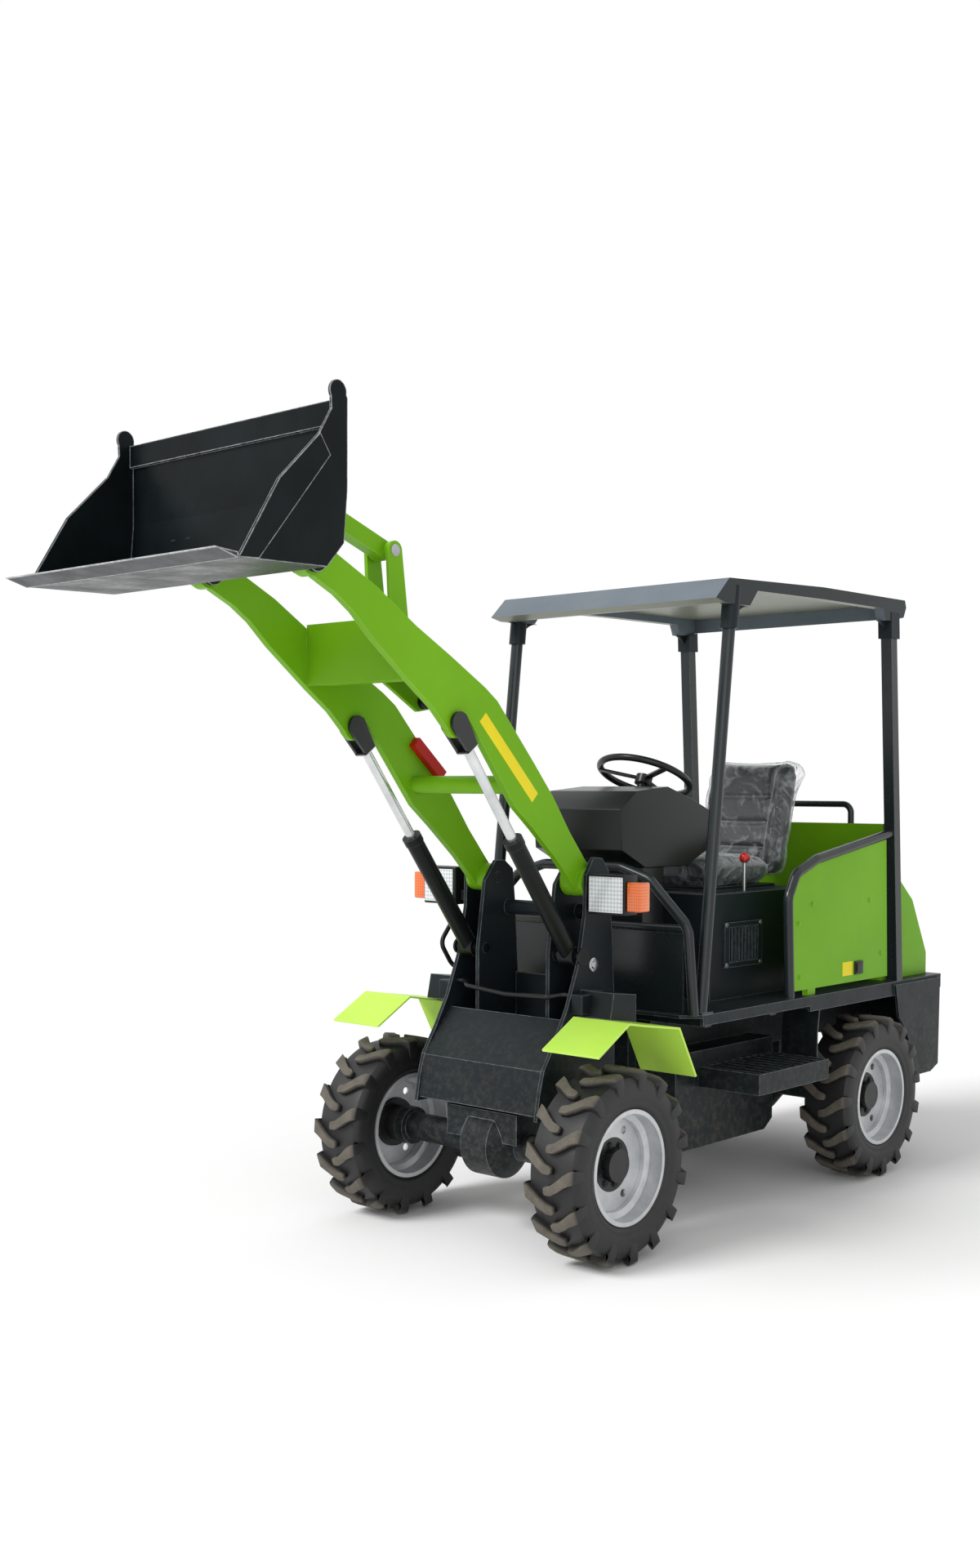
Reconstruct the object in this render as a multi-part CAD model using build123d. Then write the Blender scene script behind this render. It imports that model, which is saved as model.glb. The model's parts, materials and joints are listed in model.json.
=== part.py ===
from build123d import *
import math
import os

# Compact articulated wheel loader, canopy over the seat, bucket held high.
# Millimetres. X is the machine's left, Y runs to its rear, Z is up.
# Lengths are laid out from the front axle and moved to the origin on export.

# Wheels and axles
wheelbase = 1762.5
track = 1045.0
tyre_radius = 340.0
tyre_width = 216.0
lug_height = 24.0
lug_pairs = 12
lug_reach = 48.0
lug_wrap = 4.0
rim_radius = 201.0
rim_width = 190.0
rim_wall = 5.0
bead_depth = 11.0
disc_offset = 8.0
disc_thickness = 8.0
hub_radius = 92.0
hub_length = 70.0
stub_radius = 25.0
running_gap = 0.05
face_gap = 3.0
seat_gap = 0.3
axle_tube_radius = 52.0
differential_radius = 125.0
differential_half = 62.0

# Articulation between the front and the rear frame
pivot_y = 415.0
pivot_low = 440.0
pivot_high = 690.0
pivot_pin_radius = 22.0
pivot_boss_radius = 52.0
pivot_fork_thickness = 32.0

# Front tower
tower_inner = 285.0
tower_plate = 15.0
cheek_inner = 165.0
cheek_plate = 15.0
tower_low = 470.0
pin_radius = 20.0

# Boom
boom_pivot_y = 190.0
boom_pivot_z = 1300.0
arm_center = 246.0
arm_plate = 25.0
arm_boss_radius = 52.0
bucket_pin_y = -1140.0
bucket_pin_z = 2320.0
tip_radius = 48.0
lift_eye_y = -491.0
lift_eye_z = 1853.0
lift_boss_radius = 50.0
lift_edge_offset = 54.0
lift_foot_y = 125.0
lift_foot_z = 1034.0

# Lift cylinders
barrel_radius = 33.0
gland_radius = 36.0
rod_radius = 18.0
barrel_reach = 535.0
lift_bore_floor = 46.0
lift_stroke = 377.0
fork_depth = 104.0
fork_gap = 5.0
fork_cheek = 12.0
fork_radius = 38.0
fork_bridge = 10.0

# Tilt linkage, a parallelogram with the rocker, the link and the bucket
rocker_pin_y = -560.0
rocker_pin_z = 2110.0
rocker_rise = 320.0
rocker_lean = 23.0
rocker_spacing = 45.0
rocker_plate = 14.0
link_width = 60.0
link_thickness = 50.0
lever_reach = 60.0
lever_angle = 72.5
tilt_foot_y = -330.0
tilt_foot_z = 1940.0
tilt_barrel_radius = 28.0
tilt_barrel_reach = 192.0
tilt_rod_radius = 14.0
tilt_eye_radius = 22.0
bracket_plate = 16.0
hose_radius = 9.0
hose_bend = 40.0

# Steering cylinder, on the machine's right
steer_foot_x = -320.0
steer_foot_y = 900.0
steer_eye_x = -250.0
steer_eye_y = 352.0
steer_z = 690.0
steer_barrel_radius = 25.0
steer_barrel_reach = 350.0
steer_rod_radius = 13.0
steer_eye_radius = 24.0

# Bucket
bucket_half = 510.0
bucket_wall = 8.0
bucket_tip_y = -1700.0
bucket_tip_z = 2274.0
bucket_floor_y = -1300.0
bucket_floor_z = 2260.0
bucket_back_y = -1222.0
bucket_top_z = 2745.0
bucket_heel_z = 2253.0
bucket_drawn_height = 492.0
bucket_ear_y = -1258.0
bucket_ear_z = bucket_top_z + 15.0
bucket_ear_radius = 32.0

# Platform, posts and canopy
deck_top = 805.0
deck_front = 467.0
deck_rear = 2430.0
deck_half = 550.0
deck_edge = 50.0
skirt_setback = 222.5
skirt_length = 415.0
post_inset = 25.0
post_half = deck_half - post_inset
post_radius = 24.0
roof_overhang = 5.0
roof_half = deck_half + roof_overhang
roof_front = 580.0
roof_rear = 2030.0
roof_lip_z = 2342.0
roof_front_z = 2423.0
roof_ridge_y = 667.0
roof_slope_y = 1350.0
roof_slope_z = 2452.0
roof_rear_z = 2460.0
bracket_drop = 90.0
bracket_wall = 10.0
guard_radius = 20.0
belly_half = 350.0
belly_bottom = 240.0
belly_front = 640.0
belly_rear = 1330.0

# Tow hitch
hitch_z = 600.0
hitch_gap = 44.0
hitch_plate = 16.0
hitch_radius = 24.0
hitch_hole_radius = 12.5
hitch_y = 2454.0

# Seat and controls
seat_box_half = 350.0
seat_box_front = 863.0
seat_box_rear = 1640.0
seat_box_top = 1225.0
seat_half = 240.0
steering_wheel_radius = 200.0
steering_grip = 14.0

# Tie-down loops at the rear
loop_radius = 40.0
loop_bar = 9.0

wheel_z = tyre_radius
rear_end = deck_rear + loop_radius + loop_bar
origin_y = (bucket_tip_y + rear_end) / 2
rocker_eye_y = rocker_pin_y - rocker_lean
rocker_eye_z = rocker_pin_z + rocker_rise
bucket_eye_y = bucket_pin_y - rocker_lean
bucket_eye_z = bucket_pin_z + rocker_rise
lever_y = rocker_pin_y + lever_reach * math.cos(math.radians(lever_angle))
lever_z = rocker_pin_z + lever_reach * math.sin(math.radians(lever_angle))


# Shared shapes
def side_face(points):
    return make_face(Polyline(*points, close=True))


def plate(points, x_from, thickness):
    return extrude(Plane.YZ.offset(x_from) * side_face(points), thickness)


def bar_x(y, z, radius, x_from, x_to):
    return extrude(Plane.YZ.offset(x_from) * Pos(y, z) * Circle(radius), x_to - x_from)


def bar_z(x, y, radius, z_from, z_to):
    return Pos(x, y, z_from) * extrude(Circle(radius), z_to - z_from)


def bar_between(start, end, radius):
    line = Vector(*end) - Vector(*start)
    return extrude(Plane(origin=start, z_dir=line) * Circle(radius), line.length)


def block(x_from, x_to, y_from, y_to, z_from, z_to):
    size = Box(x_to - x_from, y_to - y_from, z_to - z_from)
    return Pos((x_from + x_to) / 2, (y_from + y_to) / 2, (z_from + z_to) / 2) * size


def on_deck(shape):
    return shape - block(-700, 700, 300, 2600, 600, deck_top + seat_gap)


def bent_tube(points, bend, radius):
    path = FilletPolyline(*points, radius=bend)
    section = Plane(origin=path @ 0, z_dir=path % 0) * Circle(radius)
    return sweep(section, path=path)


def mirrored(shape):
    return mirror(shape, about=Plane.YZ)


def both(shape):
    return [shape, mirrored(shape)]


def direction(y_from, z_from, y_to, z_to):
    length = math.hypot(y_to - y_from, z_to - z_from)
    return (y_to - y_from) / length, (z_to - z_from) / length, length


def along(y, z, unit_y, unit_z, distance, side):
    return y + unit_y * distance - unit_z * side, z + unit_z * distance + unit_y * side


def save(name, *shapes):
    shift = Pos(0, -origin_y, 0)
    solids = []
    for shape in shapes:
        for solid in shape.solids():
            solids.append(shift * solid)
    whole = solids[0] if len(solids) == 1 else Compound(children=solids)
    export_step(whole, "parts/" + name + ".step")


# Wheels, built about the wheel's own centre with X outboard
def tyre():
    shoulder = tyre_width / 2 - lug_wrap
    bead = rim_width / 2 - rim_wall - seat_gap
    carcass = tyre_radius - lug_height
    half = [
        (0.8 * shoulder, carcass), (0.96 * shoulder, 0.94 * carcass), (shoulder, 0.8 * carcass), (bead, rim_radius + 3)]
    rings = [(-x, radius) for x, radius in reversed(half)] + half
    sections = [Plane.YZ.offset(x) * RegularPolygon(radius, 2 * lug_pairs) for x, radius in rings]
    return loft(sections, ruled=True) - bar_x(0, 0, rim_radius - bead_depth, -shoulder, shoulder)


def lug(side, turn):
    half = tyre_width / 2
    reach = lug_reach
    top = math.sqrt(tyre_radius ** 2 - reach ** 2)
    root = tyre_radius - lug_height - 18
    foot = [(-4, -reach), (44, -reach + 8), (half + 5, 0), (half + 5, reach), (36, 0), (-14, -reach + 24)]
    section = [(-20, root), (-20, top), (0.76 * half, top), (half, top - 36), (half, root - 40), (half - 30, root - 40)]
    footprint = Pos(0, 0, root - 60) * extrude(make_face(Polyline(*[(side * a, b) for a, b in foot], close=True)), 140)
    outline = Plane.XZ * make_face(Polyline(*[(side * a, b) for a, b in section], close=True))
    return Rot(turn, 0, 0) * (extrude(outline, 100, both=True) & footprint)


def lugged_tyre():
    step = 360 / lug_pairs
    first = -math.degrees(math.asin(lug_reach / tyre_radius))
    lugs = []
    for i in range(lug_pairs):
        lugs.append(lug(1, 180 + first + i * step))
        lugs.append(lug(-1, 180 + first + (i + 0.5) * step))
    return tyre() + lugs


def rim():
    half = rim_width / 2
    seat = rim_radius - bead_depth - seat_gap
    well = seat - 22
    with BuildPart() as body:
        with BuildSketch(Plane.XY):
            outline = [
                (-half, rim_radius),
                (-half + rim_wall, rim_radius),
                (-half + rim_wall, seat),
                (-30, seat),
                (-22, well),
                (28, well),
                (38, seat),
                (half - rim_wall, seat),
                (half - rim_wall, rim_radius),
                (half, rim_radius),
                (half, seat - rim_wall),
                (42, seat - rim_wall),
                (32, well - rim_wall),
                (disc_offset + disc_thickness, well - rim_wall),
                (disc_offset + disc_thickness, 60),
                (disc_offset, 60),
                (disc_offset, well - rim_wall),
                (-26, well - rim_wall),
                (-34, seat - rim_wall),
                (-half, seat - rim_wall),
            ]
            with BuildLine():
                Polyline(*outline, close=True)
            make_face()
        revolve(axis=Axis.X)
    made = body.part
    for i in range(3):
        made -= Rot(90 + i * 120, 0, 0) * bar_x(0, 128, 14, disc_offset - 20, disc_offset + 20)
    return made


def hub():
    flange = bar_x(0, 0, hub_radius, disc_offset - 15, disc_offset)
    barrel = bar_x(0, 0, 66, disc_offset - hub_length, disc_offset - 15)
    nose = bar_x(0, 0, 57, disc_offset, 48)
    bore = bar_x(0, 0, stub_radius + running_gap, disc_offset - hub_length - 1, 25)
    return flange + barrel + nose - bore


def place_wheel(shape, side, y):
    turned = shape if side > 0 else mirrored(shape)
    return Pos(side * track / 2, y, wheel_z) * turned


def axle(y):
    inner = track / 2 + disc_offset - hub_length - face_gap
    half = [
        (differential_half, differential_radius), (differential_half + 70, axle_tube_radius),
        (inner - 40, axle_tube_radius), (inner - 40, 72), (inner, 72), (inner, stub_radius),
        (track / 2 + 22, stub_radius), (track / 2 + 22, 0)]
    return turned_x(y, wheel_z, half)


def turned_x(y, z, half):
    outline = half + [(-x, radius) for x, radius in reversed(half)]
    profile = make_face(Polyline(*outline, close=True))
    return Pos(0, y, z) * revolve(profile, Axis.X)


# Rear frame
def chassis():
    spine_half = 230
    rail_top = deck_top - deck_edge
    spine = block(-spine_half, spine_half, belly_front, deck_rear - 60, 560, rail_top)
    belly = block(-belly_half, belly_half, belly_front, belly_rear, belly_bottom + 40, 620)
    keel = plate(
        [(belly_front + 60, belly_bottom), (belly_rear - 60, belly_bottom),
         (belly_rear, belly_bottom + 40), (belly_front, belly_bottom + 40)],
        -belly_half, 2 * belly_half)
    saddle = block(-170, 170, wheelbase - 90, wheelbase + 90, wheel_z + 20, 560)
    nose = block(-160, 160, belly_front - 50, belly_front, pivot_low, pivot_high + 20)
    body = spine + belly + keel + saddle + nose
    for low in (pivot_low, pivot_high - pivot_fork_thickness):
        body += block(-pivot_boss_radius, pivot_boss_radius, pivot_y, belly_front, low, low + pivot_fork_thickness)
        body += bar_z(0, pivot_y, pivot_boss_radius, low, low + pivot_fork_thickness)
    body += steering_foot()
    body -= axle_space(wheelbase)
    return body - bar_z(0, pivot_y, pivot_pin_radius, 0, deck_top)


def axle_space(y):
    half = [
        (differential_half + seat_gap, differential_radius + seat_gap),
        (differential_half + 70 + seat_gap, axle_tube_radius + seat_gap),
        (track / 2, axle_tube_radius + seat_gap), (track / 2, 0)]
    return turned_x(y, wheel_z, half)


def steering_foot():
    thickness = 8
    cheek = block(steer_foot_x - 24, -200, steer_foot_y - 24, steer_foot_y + 24, 0, thickness)
    low = Pos(0, 0, steer_z - steer_eye_radius / 2 - seat_gap - thickness) * cheek
    high = Pos(0, 0, steer_z + steer_eye_radius / 2 + seat_gap) * cheek
    return low + high


def pivot_pin():
    head = bar_z(0, pivot_y, pivot_pin_radius + 12, pivot_high, pivot_high + 10)
    return bar_z(0, pivot_y, pivot_pin_radius, pivot_low - 12, pivot_high) + head


def platform():
    corner = 62
    skin = 12
    low = deck_top - deck_edge
    outline = Polyline(
        (-deck_half, deck_front + corner), (-deck_half + corner, deck_front),
        (deck_half - corner, deck_front), (deck_half, deck_front + corner),
        (deck_half, deck_rear), (-deck_half, deck_rear), close=True)
    sheet = Pos(0, 0, deck_top - skin) * extrude(make_face(outline), skin)
    rail = block(deck_half - skin, deck_half, 1290, deck_rear, low - 12, deck_top - skin)
    front_rail = block(deck_half - skin, deck_half, deck_front + corner, 1290, deck_top - 40, deck_top - skin)
    body = sheet + rail + front_rail + mirrored(rail) + mirrored(front_rail)
    body += block(-deck_half, deck_half, deck_rear - skin, deck_rear, low - 12, deck_top - skin)
    for y in (560, 1010, 1340, 2150):
        body += block(-deck_half + skin, deck_half - skin, y, y + 40, low, deck_top - skin)
    return body


def steps():
    x_out = 630
    x_in = belly_half + seat_gap
    tray = block(x_in, x_out, 790, 1300, 480, 560)
    pocket = block(x_in + 12, x_out - 12, 802, 1288, 492, 561)
    body = tray - pocket
    for i in range(9):
        body += block(x_in + 12, x_out - 12, 822 + i * 52, 842 + i * 52, 546, 560)
    return both(body)


def rear_fenders():
    x_in = deck_half + seat_gap
    front = wheelbase + skirt_setback
    rear = front + skirt_length
    skirt = plate(
        [(front, 792), (rear, 792), (rear - 10, 400), (rear - 80, 372), (front + 100, 372)], x_in, 12)
    skirt -= bar_x(wheelbase, wheel_z, 400, x_in - 1, x_in + 13)
    flap = plate(
        [(1360, 742.7), (1345, 650), (1345, 520), (1351, 520), (1351, 649), (1366, 742.7)], 380, 170)
    return both(skirt) + both(flap)


def rear_hood():
    wall = 5
    half = post_half - 35
    base = deck_top + seat_gap
    shell = plate(
        [(1985, base), (2401, base), (2401, 900), (2264, 1146), (2146, 1238), (2080, 1490), (1985, 1490)],
        -half, 2 * half)
    hollow = plate(
        [(1985 + wall, base - 1), (2401 - wall, base - 1), (2401 - wall, 899), (2260, 1142), (2142, 1234),
         (2076, 1490 - wall), (1985 + wall, 1490 - wall)],
        -half + wall, 2 * (half - wall))
    return shell - hollow


def engine_block():
    return block(-260, 260, 2030, 2290, deck_top + seat_gap, 1080)


def counterweight():
    y = deck_rear - 60 + seat_gap
    slab = block(-500, 500, y, deck_rear, 480, deck_top - deck_edge - 12 - seat_gap)
    ring = Rot(0, 90, 0) * Torus(loop_radius, loop_bar)
    outer_half = ring & block(-20, 20, 0, 60, -60, 60)
    loop = Pos(470, deck_rear, 585) * outer_half
    body = slab + loop + mirrored(loop)
    for z in (hitch_z - hitch_gap / 2 - hitch_plate, hitch_z + hitch_gap / 2):
        body += block(-hitch_radius, hitch_radius, deck_rear - 5, hitch_y, z, z + hitch_plate)
        body += bar_z(0, hitch_y, hitch_radius, z, z + hitch_plate)
    return body - bar_z(0, hitch_y, hitch_hole_radius, 0, deck_top)


def seat_box():
    wall = 6
    half = seat_box_half
    outer = block(-half, half, seat_box_front, seat_box_rear, deck_top + seat_gap, seat_box_top)
    inner = block(-half + wall, half - wall, seat_box_front + wall, seat_box_rear - wall,
                  deck_top, seat_box_top - wall)
    pan = block(-seat_half + 20, seat_half - 20, 1080, 1540, seat_box_top, seat_box_top + 15)
    post = block(-60, 60, 1590, seat_box_rear, seat_box_top, 1262)
    return outer - inner + pan + post


def grilles():
    x_in = seat_box_half + seat_gap
    body = block(x_in, x_in + 9, 955, 1225, 930, 1110)
    for i in range(9):
        body -= block(x_in - 1, x_in + 10, 988 + i * 24, 1002 + i * 24, 950, 1090)
    return both(body)


def seat_cushion():
    return block(-seat_half, seat_half, 1070, 1550, seat_box_top + 15 + seat_gap, 1358)


def seat_back():
    outline = [(1570, 1262 + seat_gap), (1690, 1262 + seat_gap), (1800, 1740), (1765, 1785), (1700, 1760)]
    return plate(outline, -seat_half, 2 * seat_half)


def steering_axis():
    return Pos(0, 900, 1690) * Rot(-24, 0, 0)


def dash():
    column = block(-200, 200, 620, 760, deck_top + seat_gap, 1345)
    hood = plate(
        [(470, 1405), (455, 1560), (560, 1630), (766, 1648), (930, 1600), (1120, 1530), (1125, 1430),
         (900, 1335), (620, 1335)],
        -215, 430)
    space = steering_axis() * Pos(0, 0, -110) * Cylinder(20 + seat_gap, 180)
    return column + hood - space


def steering_wheel():
    ring = Torus(steering_wheel_radius - steering_grip, steering_grip)
    body = ring + Pos(0, 0, -18) * Cylinder(34, 36) + Pos(0, 0, -98) * Cylinder(20, 140)
    for angle in (90, 210, 330):
        spoke = Box(steering_wheel_radius - 20, 24, 8)
        body += Pos(0, 0, -12) * Rot(0, 0, angle) * Pos(steering_wheel_radius / 2, 0, 0) * spoke
    return steering_axis() * body


def levers():
    foot = (300, 1180, seat_box_top + seat_gap)
    stick = bar_z(foot[0], foot[1], 7, foot[2], foot[2] + 120)
    return stick + Pos(foot[0], foot[1], foot[2] + 135) * Sphere(22)


def posts():
    low = deck_top + seat_gap
    front = bar_between((post_half, 536, 700), (post_half, 729, 2400), post_radius)
    front &= block(post_half - 60, post_half + 60, 400, 900, low, roof_lip_z - 12 - seat_gap)
    foot = block(post_half - 40, deck_half, 522, 592, low, low + 8)
    return both(front + foot) + both(rear_post())


def rear_post(grow=0):
    low = deck_top + seat_gap
    high = roof_front_z - 60
    outline = [(2015 - grow, low), (2065 + grow, low), (1968 + grow, high + grow), (1918 - grow, high + grow)]
    return plate(outline, post_half - 25 - grow, 50 + 2 * grow)


def roof_shell():
    outline = [
        (roof_front, roof_lip_z), (roof_ridge_y, roof_front_z), (roof_slope_y, roof_slope_z), (roof_rear, roof_rear_z),
        (roof_rear + 12, 2430), (roof_rear - 10, 2385), (1900, 2363.3), (760, roof_lip_z - 12),
        (640, roof_lip_z - 12)]
    return plate(outline, -roof_half, 2 * roof_half)


def roof():
    shell = roof_shell()
    hollow = plate(
        [(650, 2300), (700, 2400), (1350, 2434), (1985, 2440), (1985, 2300)],
        -roof_half + 45, 2 * (roof_half - 45))
    arch = [(780, 2300), (860, 2392), (1350, 2404), (1840, 2410), (1890, 2300)]
    shell -= both(plate(arch, roof_half - 46, 60))
    return shell - hollow - both(plate([(1900, 2300), (1990, 2300), (1990, 2363.3), (1900, 2363.3)], 480, 120))


def roof_brackets():
    top = roof_front_z - 20
    low = roof_lip_z - 12 - bracket_drop
    post = bar_between((post_half, 536, 700), (post_half, 729, 2400), post_radius + bracket_wall)
    front = post & block(400, 700, 600, 900, low, top)
    front += corner_web(post_half - 6, 720, roof_lip_z - 12, 110, 12)
    front += corner_web(post_half - 6, 720, roof_lip_z - 12, -70, 12)
    front -= bar_between((post_half, 536, 700), (post_half, 729, 2400), post_radius + seat_gap)
    rear_low = 2363.3
    rear = plate([(1912, 2290), (1984, 2290), (1978, 2400), (1906, 2400)], post_half - 32, 64)
    rear += corner_web(post_half - 6, 1940, rear_low, -120, 12)
    rear -= rear_post(seat_gap)
    lid = Pos(0, 0, -seat_gap) * roof_shell()
    return both((front - lid)) + both((rear - lid))


def corner_web(x, y, z, reach, thickness):
    far = y + reach
    low = z - abs(reach)
    web = block(x, x + thickness, min(y, far), max(y, far), low, z + 10)
    return web - bar_x(far, low, abs(reach), x - 1, x + thickness + 1)


def front_guard():
    y = deck_front + 29
    low = deck_top + seat_gap
    points = [
        (post_half + 7, y, low - 30), (post_half - 22, y, 1127), (323, y, 1300), (190, y, 1341),
        (-190, y, 1341), (-323, y, 1300), (22 - post_half, y, 1127), (-post_half - 7, y, low - 30)]
    tube = on_deck(bent_tube(points, 90, guard_radius))
    bar_half = post_half - 25
    panel_half = post_half - 40
    bar = bar_x(y, 1120, 16, -bar_half, bar_half)
    panel = block(-panel_half, panel_half, y - 4, y + 4, low, 1110)
    return tube + bar + panel


def guard_path():
    return [
        (post_half, 1171.5, deck_top - 30), (post_half, 1150, 1207), (post_half, 1209, 1302),
        (post_half, 1365, 1356), (post_half, 2030, 1458)]


def side_guards():
    tube = on_deck(bent_tube(guard_path(), 60, guard_radius)) - rear_post()
    tube = max(tube.solids(), key=lambda solid: solid.volume)
    return both(tube)


def side_panels():
    panel = plate(
        [(1175, 831), (1160, 1207), (1212, 1290), (1370, 1350), (1941, 1440), (1964, 831)],
        post_half - 4, 8)
    panel -= bent_tube(guard_path(), 60, guard_radius + seat_gap)
    panel = max(panel.solids(), key=lambda solid: solid.volume)
    foot = block(post_half - 20, post_half + 4, 1300, 1360, deck_top + seat_gap, 840)
    return both(panel + foot)


def grab_rail():
    base = 1490 + seat_gap
    points = [(300, 2040, base), (300, 2040, 1575), (-300, 2040, 1575), (-300, 2040, base)]
    return bent_tube(points, 40, 14)


# Front frame
def tower():
    rear_edge = [(320, tower_low), (320, 860), (312, 934), (303, 1086), (292, 1207), (278, 1340)]
    front_edge = [
        (150, 1330), (145, 1184), (109, 1010), (46, 854), (-17, 744), (-83, 645), (-105, 567), (-122, tower_low)]
    side = plate(rear_edge + [(240, 1385), (190, 1390)] + front_edge, tower_inner, tower_plate)
    side += fender_bracket()
    cheek = plate(
        [(310, 560), (310, 934), (292, 1207), (278, 1330), (230, 1365), (180, 1365), (120, 1290), (85, 1034),
         (85, 560)],
        cheek_inner, cheek_plate)
    body = block(-tower_inner, tower_inner, -60, 320, tower_low, tower_low + 20)
    body += block(-tower_inner, tower_inner, 300, 315, tower_low, 930)
    body += bar_x(255, 1185, 28, -tower_inner, tower_inner)
    body += block(-170, 170, -80, 100, wheel_z + 20, tower_low)
    body += block(cheek_inner, cheek_inner + cheek_plate, 60, 310, tower_low, 600)
    body += block(-cheek_inner - cheek_plate, -cheek_inner, 60, 310, tower_low, 600)
    body += both(side) + both(cheek) + [knuckle()]
    body += steering_ears()
    for y, z in ((boom_pivot_y, boom_pivot_z), (lift_foot_y, lift_foot_z)):
        body -= bar_x(y, z, pin_radius, -400, 400)
    return body - axle_space(0)


def fender_bracket():
    x_in = tower_inner + tower_plate
    return plate([(100, 822.3), (250, 800.3), (250, 900), (120, 915)], x_in, 150)


def knuckle():
    low = pivot_low + pivot_fork_thickness + face_gap
    high = pivot_high - pivot_fork_thickness - face_gap
    boss = bar_z(0, pivot_y, pivot_boss_radius, low, high)
    web = block(-50, 50, 310, pivot_y, low, high)
    return boss + web - bar_z(0, pivot_y, pivot_pin_radius + running_gap, low - 1, high + 1)


def steering_ears():
    ear = block(steer_eye_x - 24, steer_eye_x + 24, 310, steer_eye_y, 0, 8)
    ear += bar_z(steer_eye_x, steer_eye_y, 24, 0, 8)
    low = Pos(0, 0, steer_z - steer_eye_radius / 2 - 13) * ear
    high = Pos(0, 0, steer_z + steer_eye_radius / 2 + 5) * ear
    return low + high


def shield():
    return plate(
        [(-83, 642), (-110, 485), (-98, 485), (-70, 640), (72, 800), (62, 808)],
        -tower_inner + seat_gap, 2 * (tower_inner - seat_gap))


def front_fenders():
    outer = [(-215, 750), (-45, 845), (45, 830 - seat_gap), (250, 800 - seat_gap), (355, 615)]
    inner = [(347, 612), (244, 793), (45, 823), (-43, 838), (-212, 743)]
    return both(plate(outer + inner, 400, 244))


def hoses():
    made = []
    for points in hose_paths():
        made.append(bent_tube(points, hose_bend, hose_radius))
    return made


def hose_paths():
    plate_out = -tower_inner - tower_plate - seat_gap
    inside = tower_inner - seat_gap
    loop = [
        (plate_out, 155, 1135), (plate_out - 60, 155, 1135), (plate_out - 60, 80, 1045), (plate_out - 60, 155, 940),
        (plate_out, 155, 940)]
    front = [
        (-inside, 95, 905), (-240, 95, 905), (-200, 55, 895), (0, 48, 880), (200, 55, 885), (240, 95, 895),
        (inside, 95, 895)]
    return [loop, front]


def lamp_bodies():
    body = block(325, 492, 124, 200, 1190, 1335)
    stalk = block(tower_inner + tower_plate + seat_gap, 326, 160, 190, 1205, 1245)
    return both(body + stalk)


def lamp_lenses():
    return both(block(334, 484, 118, 124 - seat_gap, 1199, 1326))


def indicators():
    return both(block(492 + seat_gap, 554, 130, 190, 1205, 1310))


def tower_pins():
    x_out = tower_inner + tower_plate
    pins = []
    for y, z in ((boom_pivot_y, boom_pivot_z), (lift_foot_y, lift_foot_z)):
        pin = bar_x(y, z, pin_radius, cheek_inner - 6, x_out) + bar_x(y, z, pin_radius + 10, x_out, x_out + 8)
        pins += both(pin)
    return pins


# Boom
def arm():
    x_in = arm_center - arm_plate / 2
    unit_y, unit_z, length = direction(lift_eye_y, lift_eye_z, lift_low_y(), lift_low_z())
    near = along(lift_eye_y, lift_eye_z, unit_y, unit_z, 0, lift_edge_offset)
    far = along(lift_eye_y, lift_eye_z, unit_y, unit_z, 400, lift_edge_offset)
    outline = [
        (-1123, 2272), (-1030, 2228), (-960, 2181), (-878, 2106), (-707, 1973), (-607, 1901),
        (lift_eye_y - 46, lift_eye_z - 20), near, far, (-98, 1495), (34, 1382), (150, 1266),
        (225, 1262), (230, 1335), (185, 1386), (101, 1483), (5, 1612), (-100, 1729), (-229, 1867),
        (-291, 1934), (-352, 1976), (-517, 2069), (-686, 2159), (-857, 2265), (-1030, 2350), (-1130, 2368)]
    body = plate(outline, x_in, arm_plate)
    body += bar_x(lift_eye_y, lift_eye_z, lift_boss_radius, x_in, x_in + arm_plate)
    body += bar_x(bucket_pin_y, bucket_pin_z, tip_radius, x_in - 12, x_in + arm_plate + 12)
    body += bar_x(boom_pivot_y, boom_pivot_z, arm_boss_radius, cheek_inner + cheek_plate + face_gap,
                  tower_inner - face_gap)
    body -= bar_x(boom_pivot_y, boom_pivot_z, pin_radius + running_gap, 0, 400)
    return body - bar_x(bucket_pin_y, bucket_pin_z, pin_radius + running_gap, 0, 400)


# Where the lift cylinder's foot lies, seen from the boom, once the boom is down
lowered = math.radians(85)


def lift_low_y():
    dy = lift_foot_y - boom_pivot_y
    dz = lift_foot_z - boom_pivot_z
    return boom_pivot_y + dy * math.cos(lowered) + dz * math.sin(lowered)


def lift_low_z():
    dy = lift_foot_y - boom_pivot_y
    dz = lift_foot_z - boom_pivot_z
    return boom_pivot_z - dy * math.sin(lowered) + dz * math.cos(lowered)


def bracket():
    x_in = rocker_spacing + rocker_plate + face_gap
    outline = [
        (-706, 2085), (-640, 2140), (-560, 2150), (-525, 2130), (tilt_foot_y + 40, tilt_foot_z + 15),
        (tilt_foot_y + 40, tilt_foot_z - 25), (tilt_foot_y - 20, tilt_foot_z - 35), (-600, 2050), (-706, 2000)]
    return plate(outline, x_in, bracket_plate)


def boom():
    x_in = arm_center - arm_plate / 2
    body = block(-x_in, x_in, -716, -704, 1985, 2190)
    body += block(-x_in, x_in, -704, -650, 1985, 2085)
    body += bar_x(-190, 1650, 32, -x_in, x_in)
    body += both(arm()) + both(bracket())
    body -= bar_x(rocker_pin_y, rocker_pin_z, pin_radius, -100, 100)
    return body - bar_x(tilt_foot_y, tilt_foot_z, pin_radius - 6, -100, 100)


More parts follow.
